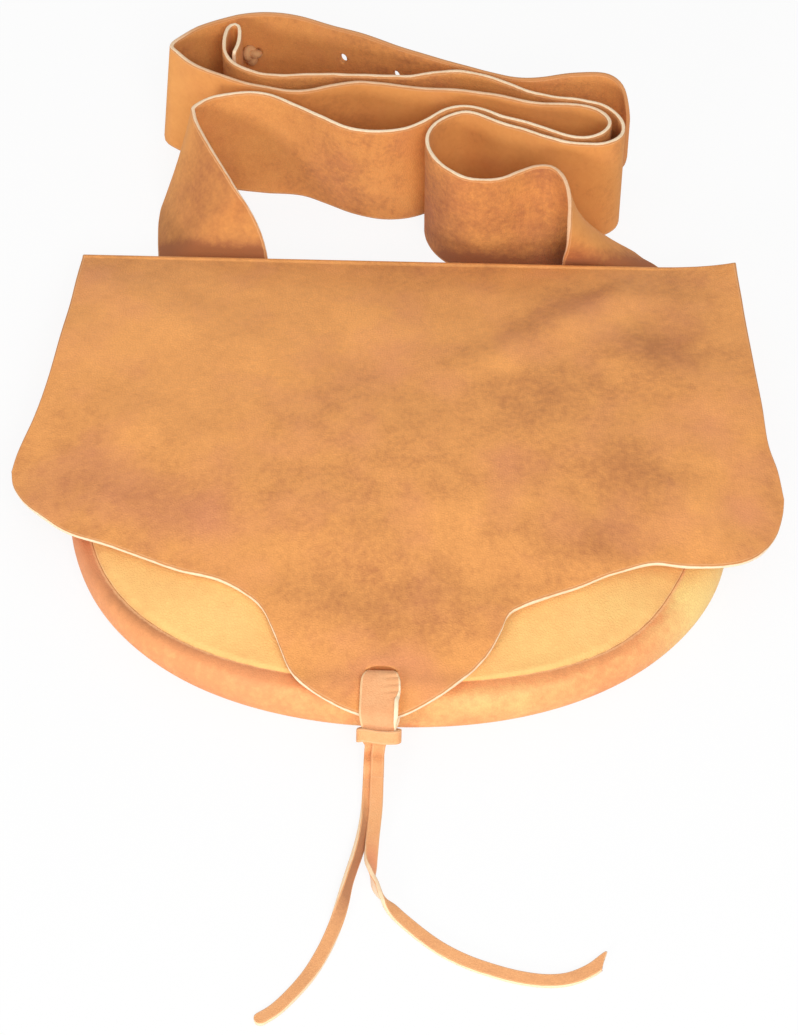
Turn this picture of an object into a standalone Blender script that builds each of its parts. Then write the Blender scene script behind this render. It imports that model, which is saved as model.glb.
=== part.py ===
"""A hunting bag of tan leather, lying on its back with its strap standing in loops behind it.

Sizes are in millimetres and the objects in metres, +Z up. The table is z = 0. Inside the empty
bag_frame, y = 0 is the fold where the flap starts, the bag's bottom is towards -Y and its strap
towards +Y. The frame's own origin is the middle of the flat back.
"""

import math

import bpy
import numpy as np

MM = 0.001
SEAT = 0.3  # air between two pieces that touch
STRAP_SEAT = 0.4
SEAM = 0.6  # the crease between the gusset and the panels
TABLE_GAP = 0.05

# Leathers
PANEL_T = 1.8
FLAP_T = 2.0
STRAP_T = 1.8
TAB_T = 1.6
LACE_T = 1.6
LACE_W = 4.8

# Body, seen from above
FOLD_Y = 110.0  # from the middle of the flat back to the fold
TOP_HALF = 132.0
SHOULDER_HALF = 127.0
SHOULDER_Y = -120.0
BOTTOM_Y = -228.0
ROUNDNESS = 2.15  # 2 would be an ellipse
SEAM_ROUNDNESS = 2.42  # of the front seam
LAST_ANGLE = math.radians(86.0)  # the bottom edge stays straight for a short stretch

# Body, in section
SEAM_Z = 16.6
BACK_INSET = 4.1
FRONT_INSET_SIDE = 8.4
FRONT_INSET_BOTTOM = 11.5
GUSSET_SECTION_STEPS = 11
ROUND_STEPS = 16  # stations round each bottom corner, the same for the panels and the gusset
CURL_R = 18.1  # the back panel's curl up to the fold, at mid thickness
MOUTH_Y = -11.0
GUSSET_TOP_Y = -7.0
CROWN = [
    (MOUTH_Y, 20.9),
    (-25.0, 24.2),
    (-50.0, 28.2),
    (-80.0, 30.9),
    (-110.0, 31.9),
    (-140.0, 31.2),
    (-165.0, 28.6),
    (-185.0, 24.8),
    (-200.0, 21.0),
    (BOTTOM_Y + FRONT_INSET_BOTTOM, SEAM_Z),
]
CROWN_FULLNESS = 2.6  # higher is flatter across the middle

# Flap: its sides and corners by how far they reach past the body, with y, and the rest by x and y
SIDE_LEFT = [
    (3.5, 0.0),
    (5.6, -25.0),
    (8.1, -50.0),
    (11.5, -75.0),
    (15.6, -95.0),
    (20.7, -112.0),
    (22.4, -121.0),
]
SIDE_RIGHT = [
    (1.0, 0.0),
    (4.3, -30.0),
    (7.7, -60.0),
    (10.3, -80.0),
    (12.5, -100.0),
    (16.2, -113.0),
    (18.5, -127.0),
]
CORNER_LEFT = [
    (20.6, -129.0),
    (15.4, -138.0),
    (7.5, -146.5),
    (-4.2, -155.5),
]
CORNER_RIGHT = [
    (17.0, -136.0),
    (13.6, -147.0),
    (6.5, -157.0),
    (-4.5, -163.0),
]
LOWER_LEFT = [
    (-100.0, -166.0),
    (-82.0, -174.5),
    (-64.0, -180.5),
    (-50.0, -191.0),
    (-43.0, -204.0),
    (-36.8, -217.5),
    (-29.0, -225.5),
    (-15.0, -233.0),
]
LOWER_RIGHT = [
    (107.0, -165.7),
    (94.0, -166.5),
    (81.0, -171.8),
    (68.0, -178.6),
    (56.5, -184.0),
    (42.5, -192.0),
    (38.4, -201.0),
    (34.0, -209.5),
    (26.2, -218.5),
    (16.0, -227.5),
]
TONGUE_TIP_Y = -235.5
OVERHANG = [(-222.5, 16.1), (-229.0, 14.2), (-238.0, 11.6)]  # what the tongue follows past the front seam
DROOP = [(0.0, 0.0), (-30.0, 4.0), (-60.0, 8.0), (-100.0, 12.5), (-140.0, 15.0), (-240.0, 15.0)]
DROOP_HALF = 148.0
DROOP_POWER = 2.4
CORNER_LIFT = 4.5  # the fold's right end stands up a little
CORNER_REACH = (34.0, 32.0)  # how far that goes in x and in y
TONGUE_RISE = (-175.0, -205.0)  # where the tab's under strand lifts the tongue

# Pull tab and lace
TAB_X = -4.5
TAB_W = 14.5
TAB_NECK_W = 9.0  # where it goes through the slit
SLIT_Y = -216.0
SLIT_LENGTH = 6.0
TAB_PINCH = 1.2  # half the space between the tab's two strands under the lace
TAB_SLOPE = math.radians(45.0)  # past the tongue the tab hangs down
HITCH_Y = -240.2
HITCH_DROP = 3.4  # below the tongue's tip
TAB_END = 1.5  # past the lace
NECK_X = (-8.2, -4.8)
NECK_RISE = 3.4  # the right strand lies on the left one
NECK_END_Y = -253.0
TAIL_GAP = 0.5  # from the hitch to the tails
# Each row of a tail is x, y and how far it is lifted off the table.
LEFT_TAIL = [
    (-8.4, -265.0, 0.0),
    (-9.0, -275.0, 0.0),
    (-10.4, -285.0, 0.0),
    (-12.6, -295.0, 0.0),
    (-14.4, -305.0, 0.0),
    (-16.6, -314.0, 0.0),
    (-19.8, -323.5, 0.0),
    (-24.2, -333.0, 0.0),
    (-29.4, -341.0, 0.0),
    (-35.0, -347.6, 0.0),
    (-41.0, -352.0, 0.0),
]
RIGHT_TAIL = [
    (-4.7, -264.0, 3.2),
    (-5.0, -272.0, 2.9),
    (-5.2, -280.0, 2.2),
    (-5.1, -288.0, 0.4),
    (-3.6, -296.0, 0.0),
    (1.4, -304.5, 0.0),
    (10.0, -313.0, 0.0),
    (19.0, -320.5, 0.0),
    (28.0, -325.7, 0.0),
    (37.0, -329.2, 0.0),
    (46.0, -331.7, 0.0),
    (55.0, -332.8, 0.0),
    (63.0, -331.8, 0.0),
    (70.0, -328.3, 0.0),
    (75.0, -324.0, 0.0),
]

# Strap
STRAP_W = 50.8
ANCHOR_ANGLES = (30.0, 37.5, 45.0)  # where the strap end lies on the curl, in degrees
ANCHOR_X = (-84.0, 84.5)
TIP_ROUND = 17.0
HOLE_R = 2.3
HOLE_DROP = 15.0  # from the strap's upper edge
HOLE_FROM_TIP = 57.5
HOLE_PITCH = 26.0
HOLE_COUNT = 4
TIE_DROP = 21.0
TIE_FROM_TIP = 176.0
TIE_CLEARANCE = 0.5  # between the thong and its hole

# Each row is x, y, the lower edge's height above the table, and the lean: 90 stands upright.
LEFT_ROUTE = [
    (-84.0, 3.4, 4.6, 8.0),
    (-85.4, 9.4, 3.0, 24.0),
    (-88.6, 16.0, 1.6, 41.0),
    (-91.6, 25.0, 0.3, 51.0),
    (-95.4, 36.0, 0.0, 59.0),
    (-98.8, 48.0, 0.0, 66.0),
    (-100.4, 57.5, 0.0, 71.0),
    (-99.4, 65.8, 0.0, 75.0),
    (-93.6, 71.6, 0.0, 78.0),
    (-85.0, 74.8, 0.0, 82.0),
    (-72.0, 75.0, 0.0, 86.0),
    (-61.0, 71.2, 0.0, 90.0),
    (-50.0, 64.8, 0.0, 90.0),
    (-40.0, 57.8, 0.0, 90.0),
    (-29.0, 51.2, 0.0, 90.0),
    (-16.0, 49.0, 0.0, 90.0),
    (-5.0, 51.2, 0.0, 90.0),
    (4.0, 57.0, 0.0, 90.0),
    (13.0, 64.6, 0.0, 90.0),
    (21.0, 67.0, 0.0, 90.0),
    (28.5, 65.2, 0.0, 90.0),
    (36.0, 61.0, 0.0, 90.0),
    (45.0, 57.6, 0.0, 90.0),
    (54.0, 53.2, 0.0, 90.0),
    (63.0, 49.4, 0.0, 90.0),
    (71.5, 48.4, 0.0, 90.0),
    (78.0, 51.4, 0.0, 90.0),
    (81.0, 57.2, 0.0, 90.0),
    (79.0, 63.8, 0.0, 90.0),
    (73.0, 68.3, 0.0, 90.0),
    (63.0, 69.9, 0.0, 90.0),
    (51.0, 70.2, 0.0, 90.0),
    (42.0, 71.8, 0.0, 90.0),
    (32.0, 75.2, 0.0, 90.0),
    (19.0, 77.6, 0.0, 90.0),
    (6.0, 78.4, 0.0, 90.0),
    (-6.0, 79.6, 0.0, 90.0),
    (-17.0, 81.6, 0.0, 90.0),
    (-25.5, 82.2, 0.0, 90.0),
    (-36.0, 78.8, 0.0, 90.0),
    (-46.0, 75.2, 0.0, 90.0),
    (-55.0, 74.8, 0.0, 90.0),
    (-64.0, 77.4, 0.0, 90.0),
    (-75.0, 80.6, 0.0, 90.0),
    (-86.0, 85.6, 0.0, 90.0),
    (-97.0, 92.0, 0.0, 88.0),
    (-104.6, 98.0, 0.0, 85.0),
    (-108.4, 102.4, 0.0, 84.0),
    (-107.8, 107.4, 0.0, 84.0),
    (-103.0, 112.0, 0.0, 86.0),
    (-95.0, 117.2, 0.0, 90.0),
    (-86.0, 122.6, 0.0, 90.0),
    (-77.0, 126.4, 0.0, 90.0),
    (-65.0, 127.4, 0.0, 90.0),
    (-51.0, 124.8, 0.0, 90.0),
    (-34.0, 117.8, 0.0, 90.0),
    (-17.0, 110.2, 0.0, 90.0),
    (-4.0, 103.6, 0.0, 90.0),
    (8.0, 98.2, 0.0, 90.0),
    (20.0, 93.8, 0.0, 90.0),
    (31.0, 89.8, 0.0, 90.0),
    (42.0, 87.0, 0.0, 90.0),
    (53.0, 87.2, 0.0, 90.0),
    (66.0, 89.8, 0.0, 90.0),
    (78.0, 90.6, 0.0, 90.0),
    (86.0, 86.0, 0.0, 90.0),
    (90.0, 78.0, 0.0, 90.0),
]
RIGHT_ROUTE = [
    (84.6, 3.4, 4.6, 8.0),
    (84.2, 9.4, 2.8, 26.0),
    (81.2, 15.0, 1.0, 45.0),
    (75.8, 21.0, 0.0, 58.0),
    (69.0, 26.0, 0.0, 71.0),
    (62.4, 29.0, 0.0, 81.0),
    (56.0, 29.8, 0.0, 88.0),
    (49.0, 28.6, 0.0, 90.0),
    (43.0, 25.2, 0.0, 90.0),
    (37.0, 21.4, 0.0, 90.0),
    (29.0, 19.8, 0.0, 90.0),
    (20.0, 21.8, 0.0, 90.0),
    (12.0, 28.2, 0.0, 90.0),
    (7.0, 36.6, 0.0, 90.0),
    (5.2, 45.6, 0.0, 90.0),
    (7.2, 53.4, 0.0, 90.0),
    (12.0, 59.0, 0.0, 90.0),
    (17.0, 62.2, 0.0, 90.0),
    (21.5, 63.0, 0.0, 90.0),
    (27.0, 61.2, 0.0, 90.0),
    (34.0, 57.2, 0.0, 90.0),
    (43.5, 53.6, 0.0, 90.0),
    (52.5, 49.2, 0.0, 90.0),
    (62.0, 45.2, 0.0, 90.0),
    (72.0, 43.6, 0.0, 90.0),
    (80.0, 45.0, 0.0, 90.0),
    (85.4, 50.0, 0.0, 90.0),
    (86.6, 57.0, 0.0, 90.0),
    (83.6, 64.6, 0.0, 90.0),
    (77.5, 70.2, 0.0, 90.0),
    (69.0, 73.0, 0.0, 90.0),
    (57.0, 74.8, 0.0, 90.0),
    (46.0, 79.0, 0.0, 90.0),
    (36.0, 84.4, 0.0, 90.0),
    (27.0, 88.2, 0.0, 90.0),
    (18.0, 90.2, 0.0, 90.0),
    (8.0, 88.8, 0.0, 90.0),
    (-4.0, 86.0, 0.0, 90.0),
    (-16.0, 86.0, 0.0, 90.0),
    (-36.0, 86.6, 0.0, 90.0),
    (-61.0, 85.4, 0.0, 90.0),
    (-71.0, 88.0, 0.0, 90.0),
    (-78.0, 92.4, 0.0, 90.0),
    (-82.4, 98.6, 0.0, 90.0),
    (-83.6, 106.0, 0.0, 90.0),
    (-83.2, 113.6, 0.0, 90.0),
    (-82.2, 117.6, 0.0, 90.0),
    (-80.2, 119.4, 0.0, 90.0),
    (-78.2, 117.8, 0.0, 90.0),
    (-77.4, 113.0, 0.0, 90.0),
    (-77.6, 106.0, 0.0, 90.0),
    (-79.0, 99.8, 0.0, 90.0),
]
ROUTE_STEPS = 3  # stations from one row of a route to the next


def clear_scene():
    for thing in list(bpy.data.objects):
        bpy.data.objects.remove(thing, do_unlink=True)


def leather(name, colour, roughness):
    """One plain leather finish."""
    material = bpy.data.materials.new(name)
    material.use_nodes = True
    shader = material.node_tree.nodes["Principled BSDF"]
    shader.inputs["Base Color"].default_value = (*colour, 1.0)
    shader.inputs["Roughness"].default_value = roughness
    shader.inputs["Metallic"].default_value = 0.0
    return material


def smooth_curve(points, steps):
    """A Catmull-Rom curve through the points, with that many stations from one to the next."""
    p = np.array(points, float)
    p = np.vstack([2 * p[0] - p[1], p, 2 * p[-1] - p[-2]])
    t = np.arange(steps)[:, None] / steps
    rows = []
    for a, b, c, d in zip(p[:-3], p[1:-2], p[2:-1], p[3:], strict=True):
        rows.append(b + (c - a) * t / 2 + (a - 2.5 * b + 2 * c - d / 2) * t**2
                    + (1.5 * (b - c) + (d - a) / 2) * t**3)
    return np.vstack([*rows, p[-2:-1]])


def along(curve):
    """The distance of each station from the curve's start."""
    return np.concatenate([[0.0], np.cumsum(np.linalg.norm(np.diff(curve, axis=0), axis=1))])


def spread(curve, shares):
    """Places on the curve at those shares of its length."""
    distance = along(curve)
    at = np.asarray(shares) * distance[-1]
    return np.stack([np.interp(at, distance, curve[:, k]) for k in range(curve.shape[1])], axis=1)


def height_line(points):
    """A function of y that runs smoothly through points of (y, z)."""
    curve = smooth_curve(points, 12)
    order = np.argsort(curve[:, 0])
    return lambda y: np.interp(y, curve[order, 0], curve[order, 1])


def sheet_mesh(name, grid, thickness):
    """A closed sheet of that thickness on both sides of a grid of points, rows by columns."""
    down = np.gradient(grid, axis=0)
    across = np.gradient(grid, axis=1)
    normal = np.cross(across, down)
    normal /= np.linalg.norm(normal, axis=2, keepdims=True)
    rows, columns = grid.shape[:2]
    top = (grid + normal * thickness / 2).reshape(-1, 3)
    under = (grid - normal * thickness / 2).reshape(-1, 3)
    index = np.arange(rows * columns).reshape(rows, columns)
    quads = np.stack([index[:-1, :-1], index[1:, :-1], index[1:, 1:], index[:-1, 1:]], axis=2)
    quads = quads.reshape(-1, 4)
    rim = np.concatenate([index[0, :-1], index[:-1, -1], index[-1, :0:-1], index[:0:-1, 0]])
    after = np.roll(rim, -1)
    low = rows * columns
    rim_quads = np.stack([rim, after, after + low, rim + low], axis=1)
    faces = np.vstack([quads[:, ::-1], quads + low, rim_quads[:, ::-1]])
    mesh = bpy.data.meshes.new(name)
    mesh.from_pydata((np.vstack([top, under]) * MM).tolist(), [], faces.tolist())
    mesh.validate()
    mesh.shade_smooth()
    mesh.set_sharp_from_angle(angle=math.radians(40.0))
    return mesh


def place(name, data, material, parent):
    thing = bpy.data.objects.new(name, data)
    thing.data.materials.append(material)
    thing.parent = parent
    bpy.context.scene.collection.objects.link(thing)
    return thing


def empty(name, at, parent=None):
    """A frame for other pieces, at a place in millimetres."""
    thing = bpy.data.objects.new(name, None)
    thing.location = [v * MM for v in at]
    thing.parent = parent
    bpy.context.scene.collection.objects.link(thing)
    return thing


def cut(thing, cutter):
    """Cut a hidden cutter's shape out of a piece."""
    cutter.hide_render = True
    cutter.display_type = "WIRE"
    cutter.parent = thing.parent
    change = thing.modifiers.new("cut", "BOOLEAN")
    change.operation = "DIFFERENCE"
    change.solver = "EXACT"
    change.object = cutter


def half_width(y):
    """The body's outer half width at a place along its straight sides."""
    return SHOULDER_HALF + (TOP_HALF - SHOULDER_HALF) * (y - SHOULDER_Y) / -SHOULDER_Y


def rounded_corner(angles, side_inset, bottom_inset, roundness):
    """x and y along the body's round bottom: a superellipse from the shoulder down."""
    power = 2.0 / roundness
    x = (SHOULDER_HALF - side_inset) * np.cos(angles) ** power
    y = SHOULDER_Y + (BOTTOM_Y + bottom_inset - SHOULDER_Y) * np.sin(angles) ** power
    return x, y


def body_rows(top_y, side_inset, bottom_inset, side_steps, roundness):
    """Half widths and y of the body's rows, from its bottom edge up to top_y."""
    angles = np.linspace(LAST_ANGLE, 0.0, ROUND_STEPS)
    x, y = rounded_corner(angles, side_inset, bottom_inset, roundness)
    side_y = np.linspace(SHOULDER_Y, top_y, side_steps + 1)[1:]
    return np.concatenate([x, half_width(side_y) - side_inset]), np.concatenate([y, side_y])


def curl_point(angle, radius):
    """y and z on the curl of the back panel, at an angle from its lowest line."""
    return -CURL_R + radius * math.sin(angle), PANEL_T / 2 + CURL_R - radius * math.cos(angle)


def curl_height(y):
    """The back panel's mid height at y."""
    into = np.clip(y + CURL_R, 0.0, CURL_R)
    return PANEL_T / 2 + CURL_R - np.sqrt(CURL_R**2 - into**2)


crown = height_line(CROWN)
tongue_crown = height_line([*CROWN, *OVERHANG])


def back_panel_grid():
    """The flat back with its round bottom, and its top curled up to the fold."""
    half, y = body_rows(-CURL_R, BACK_INSET, BACK_INSET, 5, ROUNDNESS)
    flat = np.stack([half, y, np.full(len(y), PANEL_T / 2)], axis=1)
    curled = []
    for angle in np.linspace(0.0, math.pi / 2, 13)[1:]:
        y_curl, z_curl = curl_point(angle, CURL_R)
        curled.append((half_width(y_curl) - BACK_INSET, y_curl, z_curl))
    rows = np.vstack([flat, curled])
    share = np.linspace(-1.0, 1.0, 13)
    x = rows[:, :1] * share
    return np.stack([x, np.broadcast_to(rows[:, 1:2], x.shape),
                     np.broadcast_to(rows[:, 2:3], x.shape)], axis=2)


def front_panel_grid():
    """The domed front, from its round bottom up to the mouth."""
    half, y = body_rows(MOUTH_Y, FRONT_INSET_SIDE, FRONT_INSET_BOTTOM, 9, SEAM_ROUNDNESS)
    share = np.linspace(-1.0, 1.0, 25)
    share = np.sign(share) * np.abs(share) ** 0.85
    x = half[:, None] * share
    y = np.broadcast_to(y[:, None], x.shape)
    z = SEAM_Z + (crown(y) - SEAM_Z) * (1.0 - np.abs(share) ** CROWN_FULLNESS)
    return np.stack([x, y, z], axis=2)


def gusset_grid():
    """The strip round the body, bulging out between the back's edge and the front's edge."""
    turn = (1.0 - np.cos(np.linspace(0.0, math.pi, GUSSET_SECTION_STEPS))) * math.pi / 2
    swell = 1.0 - np.sin(turn)
    lower = turn < math.pi / 2
    reach_side = np.where(lower, BACK_INSET, FRONT_INSET_SIDE) - SEAM - PANEL_T / 2
    reach_bottom = np.where(lower, BACK_INSET, FRONT_INSET_BOTTOM) - SEAM - PANEL_T / 2
    side_inset = PANEL_T / 2 + reach_side * swell
    bottom_inset = PANEL_T / 2 + reach_bottom * swell
    roundness = ROUNDNESS + np.where(lower, 0.0, SEAM_ROUNDNESS - ROUNDNESS) * swell
    rise = (1.0 - np.cos(turn)) / 2
    angles = np.linspace(0.0, LAST_ANGLE, ROUND_STEPS)[1:]
    side_y = np.concatenate([np.linspace(GUSSET_TOP_Y, -CURL_R, 4)[:-1],
                             np.linspace(-CURL_R, SHOULDER_Y, 7)])
    columns = []
    for inset, low_inset, power, share in zip(side_inset, bottom_inset, roundness, rise, strict=True):
        x, y = rounded_corner(angles, inset, low_inset, power)
        x = np.concatenate([half_width(side_y) - inset, x])
        y = np.concatenate([side_y, y])
        foot = curl_height(y)
        half = np.stack([x, y, foot + (SEAM_Z - foot) * share], axis=1)
        columns.append(np.vstack([half * [-1, 1, 1], half[::-1]]))
    return np.stack(columns, axis=1)


def hinge_height():
    """The flap's root lies on the curl's upper edge."""
    return PANEL_T / 2 + CURL_R + SEAT + FLAP_T / 2


def flap_height(x, y):
    """The flap's mid height: it lies on the front panel, lifted a little where the tab goes under."""
    share = np.clip((y - TONGUE_RISE[0]) / (TONGUE_RISE[1] - TONGUE_RISE[0]), 0.0, 1.0)
    lift = (TAB_T + 3 * SEAT) * share**2 * (3 - 2 * share)
    ridge = tongue_crown(y) + (PANEL_T + FLAP_T) / 2 + SEAT + lift
    root = hinge_height()
    near = np.clip(y / MOUTH_Y, 0.0, 1.0)
    ridge = np.where(y > MOUTH_Y, root + (ridge - root) * near, ridge)
    into_x = np.clip((x - TOP_HALF - SIDE_RIGHT[0][0] + CORNER_REACH[0]) / CORNER_REACH[0], 0.0, 1.0)
    into_y = np.clip((y + CORNER_REACH[1]) / CORNER_REACH[1], 0.0, 1.0)
    ridge = ridge + CORNER_LIFT * (into_x * into_y) ** 2
    return ridge - droop(y) * (np.abs(x) / DROOP_HALF) ** DROOP_POWER


droop = height_line(DROOP)


def flap_side(rows, side):
    """x and y of a side of the flap, from how far it reaches past the body's straight side."""
    return [(side * (half_width(y) + past), y) for past, y in rows]


def flap_corner(rows, side):
    """x and y of a lower corner of the flap, from how far it reaches past the body's shoulder."""
    return [(side * (SHOULDER_HALF + past), y) for past, y in rows]


def flap_grid(rows=25, columns=41):
    """The flap's outline filled by blending its four edges, laid on its height."""
    down = 1.0 - (1.0 - np.linspace(0.0, 1.0, rows)) ** 1.35
    sides = (flap_side(SIDE_LEFT, -1), flap_side(SIDE_RIGHT, 1))
    left, right = (spread(smooth_curve(side, 6), down) for side in sides)
    top = np.linspace(left[0], right[0], columns)
    lower = [left[-1], *flap_corner(CORNER_LEFT, -1), *LOWER_LEFT, (0.0, TONGUE_TIP_Y),
             *LOWER_RIGHT[::-1], *flap_corner(CORNER_RIGHT, 1)[::-1], right[-1]]
    lower = spread(smooth_curve(lower, 8), np.linspace(0.0, 1.0, columns))
    u = np.linspace(0.0, 1.0, columns)[None, :, None]
    v = down[:, None, None]
    flat = (
        (1 - v) * top[None] + v * lower[None] + (1 - u) * left[:, None] + u * right[:, None]
        - (1 - v) * ((1 - u) * top[0] + u * top[-1]) - v * ((1 - u) * lower[0] + u * lower[-1])
    )
    return np.dstack([flat, flap_height(flat[..., 0], flat[..., 1])])


def flap_surface(y, off):
    """A point over or under the flap on the tab's line, off the flap's mid surface."""
    return y, float(flap_height(TAB_X, y)) + off


def hang(down, out):
    """y and z on the hanging tab, down from the hitch and out from the tab's middle."""
    y = HITCH_Y - down * math.cos(TAB_SLOPE) - out * math.sin(TAB_SLOPE)
    z = flap_surface(TONGUE_TIP_Y, -HITCH_DROP)[1] - down * math.sin(TAB_SLOPE) + out * math.cos(TAB_SLOPE)
    return y, z


def tab_line():
    """Rows of y, z and width of the tab: up through the slit, over the tip and back beneath it."""
    off = (FLAP_T + TAB_T) / 2 + 2 * SEAT
    held = LACE_W / 2
    return [
        (*flap_surface(SLIT_Y + 9.0, -off), TAB_NECK_W),
        (*flap_surface(SLIT_Y + 4.2, -off), TAB_NECK_W),
        (*flap_surface(SLIT_Y + 1.1, -off * 0.55), TAB_NECK_W),
        (*flap_surface(SLIT_Y - 1.1, off * 0.55), TAB_NECK_W),
        (*flap_surface(SLIT_Y - 4.2, off), TAB_W - 2.0),
        (*flap_surface(SLIT_Y - 10.0, off), TAB_W),
        (*flap_surface(TONGUE_TIP_Y, off), TAB_W),
        (*hang(-held, TAB_PINCH), TAB_W),
        (*hang(held, TAB_PINCH), TAB_W),
        (*hang(held + TAB_END * 0.7, TAB_PINCH * 0.7), TAB_W),
        (*hang(held + TAB_END, 0.0), TAB_W),
        (*hang(held + TAB_END * 0.7, -TAB_PINCH * 0.7), TAB_W),
        (*hang(held, -TAB_PINCH), TAB_W),
        (*hang(-held, -TAB_PINCH), TAB_W),
        (*flap_surface(TONGUE_TIP_Y + 2.0, -off), TAB_W),
        (*flap_surface(SLIT_Y - 9.0, -off), TAB_W),
    ]


def tab_grid():
    line = smooth_curve(tab_line(), 2)
    share = np.linspace(-0.5, 0.5, 3)
    x = TAB_X + line[:, 2:] * share
    return np.stack([x, np.broadcast_to(line[:, :1], x.shape),
                     np.broadcast_to(line[:, 1:2], x.shape)], axis=2)


def hitch_rows():
    """The lace's bight round the tab: each row is a point and the lace's width, across and up the tab."""
    reach = TAB_PINCH + (TAB_T + LACE_T) / 2 + 2 * SEAT
    side = TAB_W / 2 + 2 * SEAT + LACE_T / 2
    left, right = TAB_X - side, TAB_X + side
    foot = LACE_W / 2 + SEAT
    under, over = NECK_X
    corner = LACE_T
    return [
        (under, NECK_END_Y, foot, -1.0, 0.0),
        (under, *hang(12.0, -2.6), -1.0, 0.0),
        (under, *hang(7.0, -5.4), -1.0, 0.0),
        (under, *hang(3.6, -5.8), -1.0, 0.0),
        (under - 1.7, *hang(1.4, -5.0), -0.8, 0.6),
        (left + 0.9, *hang(0.0, -reach), 0.0, 1.0),
        (left, *hang(0.0, corner - reach), 0.0, 1.0),
        (left, *hang(0.0, 0.0), 0.0, 1.0),
        (left, *hang(0.0, reach - corner), 0.0, 1.0),
        (left + corner, *hang(0.0, reach), 0.0, 1.0),
        (TAB_X, *hang(0.0, reach + 0.2), 0.0, 1.0),
        (right - corner, *hang(0.0, reach), 0.0, 1.0),
        (right, *hang(0.0, reach - corner), 0.0, 1.0),
        (right, *hang(0.0, 0.0), 0.0, 1.0),
        (right, *hang(0.0, corner - reach), 0.0, 1.0),
        (right - corner, *hang(0.0, -reach), 0.0, 1.0),
        (over + 3.6, *hang(0.0, -reach), 0.0, 1.0),
        (over + 1.0, *hang(1.6, -reach), 0.8, 0.6),
        (over, *hang(6.5, -2.6), 1.0, 0.0),
        (over, *hang(10.5, 0.4), 1.0, 0.0),
        (over, NECK_END_Y, foot + NECK_RISE, 1.0, 0.0),
    ]


def hitch_grid():
    rows = smooth_curve(hitch_rows(), 3)
    centre = rows[:, :3]
    up_tab = np.array([0.0, math.cos(TAB_SLOPE), math.sin(TAB_SLOPE)])
    wide = rows[:, 3:4] * [1.0, 0.0, 0.0] + rows[:, 4:] * up_tab
    ahead = np.gradient(centre, axis=0)
    ahead /= np.linalg.norm(ahead, axis=1, keepdims=True)
    wide -= ahead * (wide * ahead).sum(1, keepdims=True)
    wide /= np.linalg.norm(wide, axis=1, keepdims=True)
    return np.stack([centre - wide * LACE_W / 2, centre + wide * LACE_W / 2], axis=1)


def strap_rows(anchor_x, route, side):
    """A strap's stations: the centre, the direction to its upper edge and the run direction."""
    radius = CURL_R + PANEL_T / 2 + STRAP_SEAT + STRAP_T / 2
    anchor = []
    for degrees in ANCHOR_ANGLES:
        y, z = curl_point(math.radians(degrees), radius)
        anchor.append((anchor_x, y, z - STRAP_T / 2, 0.0))
    rows = smooth_curve([*anchor, *route], ROUTE_STEPS)
    lean = np.radians(np.clip(rows[:, 3], 0.0, 90.0))
    height = np.maximum(rows[:, 2], 0.0) + STRAP_W / 2 * np.sin(lean) + STRAP_T / 2 * np.cos(lean)
    centre = np.column_stack([rows[:, :2], height])
    run = np.gradient(rows[:, :2], axis=0)
    run /= np.linalg.norm(run, axis=1, keepdims=True)
    aside = np.column_stack([-run[:, 1], run[:, 0], np.zeros(len(run))]) * side
    up = aside * np.cos(lean)[:, None]
    up[:, 2] = np.sin(lean)
    return centre, up, run


def strap_grid(anchor_x, route, side, round_tip):
    centre, up, _ = strap_rows(anchor_x, route, side)
    half = np.full(len(centre), STRAP_W / 2)
    if round_tip:
        distance = along(centre)
        short = np.clip((TIP_ROUND - (distance[-1] - distance)) / TIP_ROUND, 0.0, 0.985)
        half = STRAP_W / 2 - TIP_ROUND * (1.0 - np.sqrt(1.0 - short**2))
    edge = up * half[:, None]
    return np.stack([centre - edge, centre, centre + edge], axis=1)


def strap_place(anchor_x, route, side, from_tip, drop):
    """A place on the strap, that far from its tip and that far under its upper edge."""
    centre, up, run = strap_rows(anchor_x, route, side)
    point = centre + up * (STRAP_W / 2 - drop)
    distance = along(centre)
    at = distance[-1] - from_tip
    place_there = [np.interp(at, distance, point[:, k]) for k in range(3)]
    heading = [np.interp(at, distance, run[:, k]) for k in range(2)]
    return place_there, math.atan2(heading[1], heading[0])


def upright_drum(name, place_there, angle, radius, length, sides=12):
    """A closed drum through an upright strap, for cutting a hole."""
    turn = np.linspace(0.0, 2 * math.pi, sides, endpoint=False)
    ring = np.column_stack([radius * np.cos(turn), np.zeros(sides), radius * np.sin(turn)])
    near = ring - [0.0, length / 2, 0.0]
    far = ring + [0.0, length / 2, 0.0]
    faces = [tuple(range(sides)), tuple(range(2 * sides - 1, sides - 1, -1))]
    for i in range(sides):
        after = (i + 1) % sides
        faces.append((i, i + sides, after + sides, after))
    mesh = bpy.data.meshes.new(name)
    mesh.from_pydata((np.vstack([near, far]) * MM).tolist(), [], faces)
    thing = bpy.data.objects.new(name, mesh)
    thing.location = [v * MM for v in place_there]
    thing.rotation_euler = (0.0, 0.0, angle)
    bpy.context.scene.collection.objects.link(thing)
    return thing


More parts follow.
